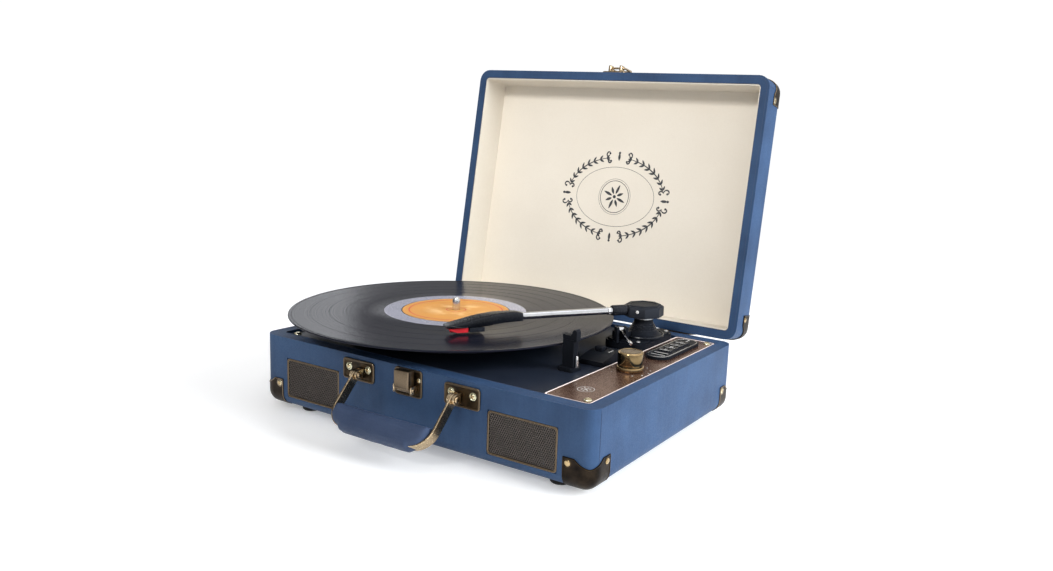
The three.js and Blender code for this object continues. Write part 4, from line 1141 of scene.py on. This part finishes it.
def seams():
    # Lapped joint of the covering near the front right corner, and its match at the back left.
    t = -pi / 2 + 17 / CASE_ROUND
    lap_x = HALF_WIDTH - CASE_ROUND + CASE_ROUND * cos(t)
    lap_y = -HALF_DEPTH + CASE_ROUND + CASE_ROUND * sin(t)
    for k, s in enumerate((1, -1)):
        lap = [(s * lap_x, s * lap_y, 26.5 + (71.6 - 26.5) * i / 12) for i in range(13)]
        bead(f"case_lap_seam_{k}", "case", CASE, lap, 0.22, False, (s, 0, 0))
    # Rolled edge where the covering turns over each rim, and a pressed line near the outer edge.
    rim = rect(174.9, 128.9, CASE_ROUND, 8)
    for name, body, base, outline, z, r in (
        ("case_rim_inner_edge", "case", CASE, rect(163, 116.5, 4), 71.9, 0.35),
        ("case_rim_pressed_line", "case", CASE, shrink(rim, 3.2), 71.96, 0.16),
        ("lid_rim_pressed_line", "lid", LID, shrink(rim, 2.4), 72.66, 0.16),
        ("lid_rim_inner_edge", "lid", LID, rect(166.4, 120.4, 4), 72.7, 0.4),
    ):
        bead(name, body, base, [(*p, z) for p in outline], r)
    lap = [(lap_x, lap_y, 73.2 + (86 - 73.2) * i / 6) for i in range(7)]
    bead("lid_lap_seam", "lid", LID, lap, 0.22, False, (1, 0, 0))


seams()


# --- lid ornament
def oval_point(rx, ry, a):
    return rx * cos(radians(a)), ry * sin(radians(a))


def ornament():
    def ribbon(points, width, closed=False):
        """A flat strip with a raised middle. width is a number, or a function of how far along it is."""
        pts = [Vector((*p, 0)) for p in points]
        rows = []
        for i, (p, t) in enumerate(zip(pts, directions(pts, closed))):
            w = width(i / max(1, len(pts) - 1)) if callable(width) else width
            side = Vector((-t.y, t.x, 0)) * w / 2
            rows.append([bm.verts.new(v) for v in (p - side, p + Vector((0, 0, 0.1)), p + side)])
        for a, b in list(zip(rows, rows[1:])) + ([(rows[-1], rows[0])] if closed else []):
            for k in (0, 1):
                bm.faces.new((a[k], a[k + 1], b[k + 1], b[k]))

    def oval(rx, ry, first=0, last=360, n=96):
        count = n if last - first == 360 else n + 1
        return [oval_point(rx, ry, first + (last - first) * i / n) for i in range(count)]

    def leaf(x, y, angle, length, wide):
        c, s = cos(radians(angle)), sin(radians(angle))
        edge = [(i / 8 * length, wide * sin(pi * i / 8) ** 0.8 * (1 - 0.35 * i / 8) / 2) for i in range(9)]
        loop = edge + [(u, -v) for u, v in edge[-2:0:-1]]
        bm.faces.new([bm.verts.new((x + c * u - s * v, y + s * u + c * v, 0.04)) for u, v in loop])

    def boss(x, y, inner, outer, seg=14):
        lathe([(0, 0.1), (inner, 0.08), (outer, 0.0)], seg, x, y)

    def curl(x, y, angle, size, hand):
        cx, cy = oval_point(size, size, angle)
        pts = []
        for i in range(30):
            r = size * (1 - 0.82 * i / 29)
            a = radians(angle) + hand * (i / 29) * 4.6
            pts.append((x + r * cos(a) - cx, y + r * sin(a) - cy))
        ribbon(pts, lambda t: 0.5 + 1.15 * sin(pi * min(1, t * 1.15)) ** 0.7)
        boss(*pts[-1], 1.0, 1.25)

    # Garland: a broken oval with paired leaves along it and two curls at each break.
    rx, ry = 60.0, 43.0
    for q in range(4):
        first, last = 90 * q + 11, 90 * q + 79
        ribbon(oval(rx, ry, first, last, 40), lambda t: 0.6 + 0.7 * sin(pi * t))
        for i in range(8):
            a = first + (last - first) * (i + 0.5) / 8
            along = degrees(atan2(ry * cos(radians(a)), -rx * sin(radians(a)))) + (180 if q % 2 else 0)
            for lean in ((-38, 38) if q % 2 else (38, -38)):
                leaf(*oval_point(rx, ry, a), along + lean, 7.6 - abs(i - 3.5) * 0.55, 2.7)
        for end, hand in ((first, -1), (last, 1)):
            x, y = oval_point(rx, ry, end)
            out = degrees(atan2(y, x))
            curl(x, y, out + 180, 4.6, hand)
            curl(x, y, out, 3.6, -hand)
    for a in (0, 90, 180, 270):
        x, y = oval_point(rx, ry, a)
        dx, dy = oval_point(3.6, 3.6, a)
        leaf(x - dx, y - dy, a, 9.5, 3.6)
        boss(x * 1.09, y * 1.12, 1.1, 1.4)
    ribbon(oval(48.5, 32.5), 0.45, True)
    # Plain compass rosette in the middle.
    for i in range(8):
        a = 45 * i + 22.5
        leaf(*oval_point(3.2, 3.2, a), a, 11.5 if i % 2 else 8.5, 3.6)
    ribbon(oval(17.5, 17.5, n=64), 0.7, True)
    ribbon(oval(19.6, 19.6, n=64), 0.35, True)
    boss(0, 0, 1.6, 1.9, 20)
    at = frame_at((1, -1, 108.08), (1, 0, 0), (0, -1, 0), LID)
    piece("lid_ornament", INK, "lid", at, 60)


ornament()


# --- studio
def floor():
    lathe([(r, 0.0) for r in (0.0, 0.3, 0.6, 1.0)], 96)
    bmesh.ops.recalc_face_normals(bm, faces=bm.faces)
    me = take_mesh("studio_floor")
    if me.polygons[0].normal.z < 0:
        me.flip_normals()
    me.materials.append(floor_material())
    obj = add_object("studio_floor", me)
    obj.location.z = cad_lo.z - 0.0002


def area(name, at, aim, size, power, colour=(1, 1, 1)):
    light = bpy.data.lights.new(name, "AREA")
    light.shape, light.size, light.size_y = "RECTANGLE", size[0], size[1]
    light.energy, light.color = power, colour
    obj = add_object(name, light)
    obj.location = at
    obj.rotation_euler = (Vector(aim) - Vector(at)).to_track_quat("-Z", "Y").to_euler()
    return obj


def studio():
    """White surroundings for the camera, and soft light that comes mostly from the right."""
    scene = bpy.context.scene
    world = scene.world = bpy.data.worlds.new("studio")
    world.use_nodes = True
    nt = world.node_tree
    sky = nt.nodes["Background"]
    coord = nt.nodes.new("ShaderNodeTexCoord")
    dot = nt.nodes.new("ShaderNodeVectorMath")
    dot.operation = "DOT_PRODUCT"
    dot.inputs[1].default_value = Vector((0.86, 0.05, 0.5)).normalized()
    span = nt.nodes.new("ShaderNodeMapRange")
    for k, v in (("From Min", -0.7), ("From Max", 0.9), ("To Min", 0.12), ("To Max", 1.0)):
        span.inputs[k].default_value = v
    path = nt.nodes.new("ShaderNodeLightPath")
    seen = nt.nodes.new("ShaderNodeMix")
    seen.inputs[3].default_value = 1.03
    nt.links.new(coord.outputs["Generated"], dot.inputs[0])
    nt.links.new(dot.outputs["Value"], span.inputs["Value"])
    nt.links.new(path.outputs["Is Camera Ray"], seen.inputs[0])
    nt.links.new(span.outputs[0], seen.inputs[2])
    nt.links.new(seen.outputs[0], sky.inputs["Strength"])
    sky.inputs["Color"].default_value = (0.985, 0.99, 1.0, 1)
    scene.view_settings.view_transform = "Standard"
    scene.view_settings.look = "None"
    key = area("key", (2.2, 0.35, 0.95), (0.1, 0.0, 0.1), (1.5, 1.2), 82, (0.92, 0.965, 1.0))
    key.visible_glossy = False
    area("top", (0.5, 0.1, 1.7), (0.0, 0.0, 0.0), (1.0, 1.0), 3)
    area("record_sheen", (-1.9, 0.9, 0.75), (-0.1, 0.0, 0.09), (1.1, 0.5), 3.6, (0.94, 0.96, 1.0))
    fill = area("lid_fill", (0.12, -1.25, 1.05), (0.0, 0.16, 0.215), (0.5, 0.3), 0.78, (1.0, 0.985, 0.965))
    fill.data.spread = radians(34)


def camera():
    """A normal lens from the right front, a little above."""
    yaw, pitch, roll = radians(29.48), radians(10.09), radians(2.98)
    forward = Vector((-sin(yaw) * cos(pitch), cos(yaw) * cos(pitch), -sin(pitch)))
    right = forward.cross(Vector((0, 0, 1))).normalized()
    up = right.cross(forward)
    r = right * cos(roll) + up * sin(roll)
    u = up * cos(roll) - right * sin(roll)
    cam = bpy.data.cameras.new("camera")
    cam.sensor_width, cam.lens = 36.0, 864.0 / 1053 * 36
    cam.shift_x, cam.shift_y = -0.0810, -0.0069
    cam.clip_start, cam.clip_end = 0.01, 100
    obj = add_object("camera", cam)
    at = CASE @ Vector((469.2, -635.3, 273.1))
    rows = [(r[i], u[i], -forward[i], at[i]) for i in range(3)]
    obj.matrix_world = Matrix((*rows, (0, 0, 0, 1)))
    bpy.context.scene.camera = obj


floor()
studio()
camera()
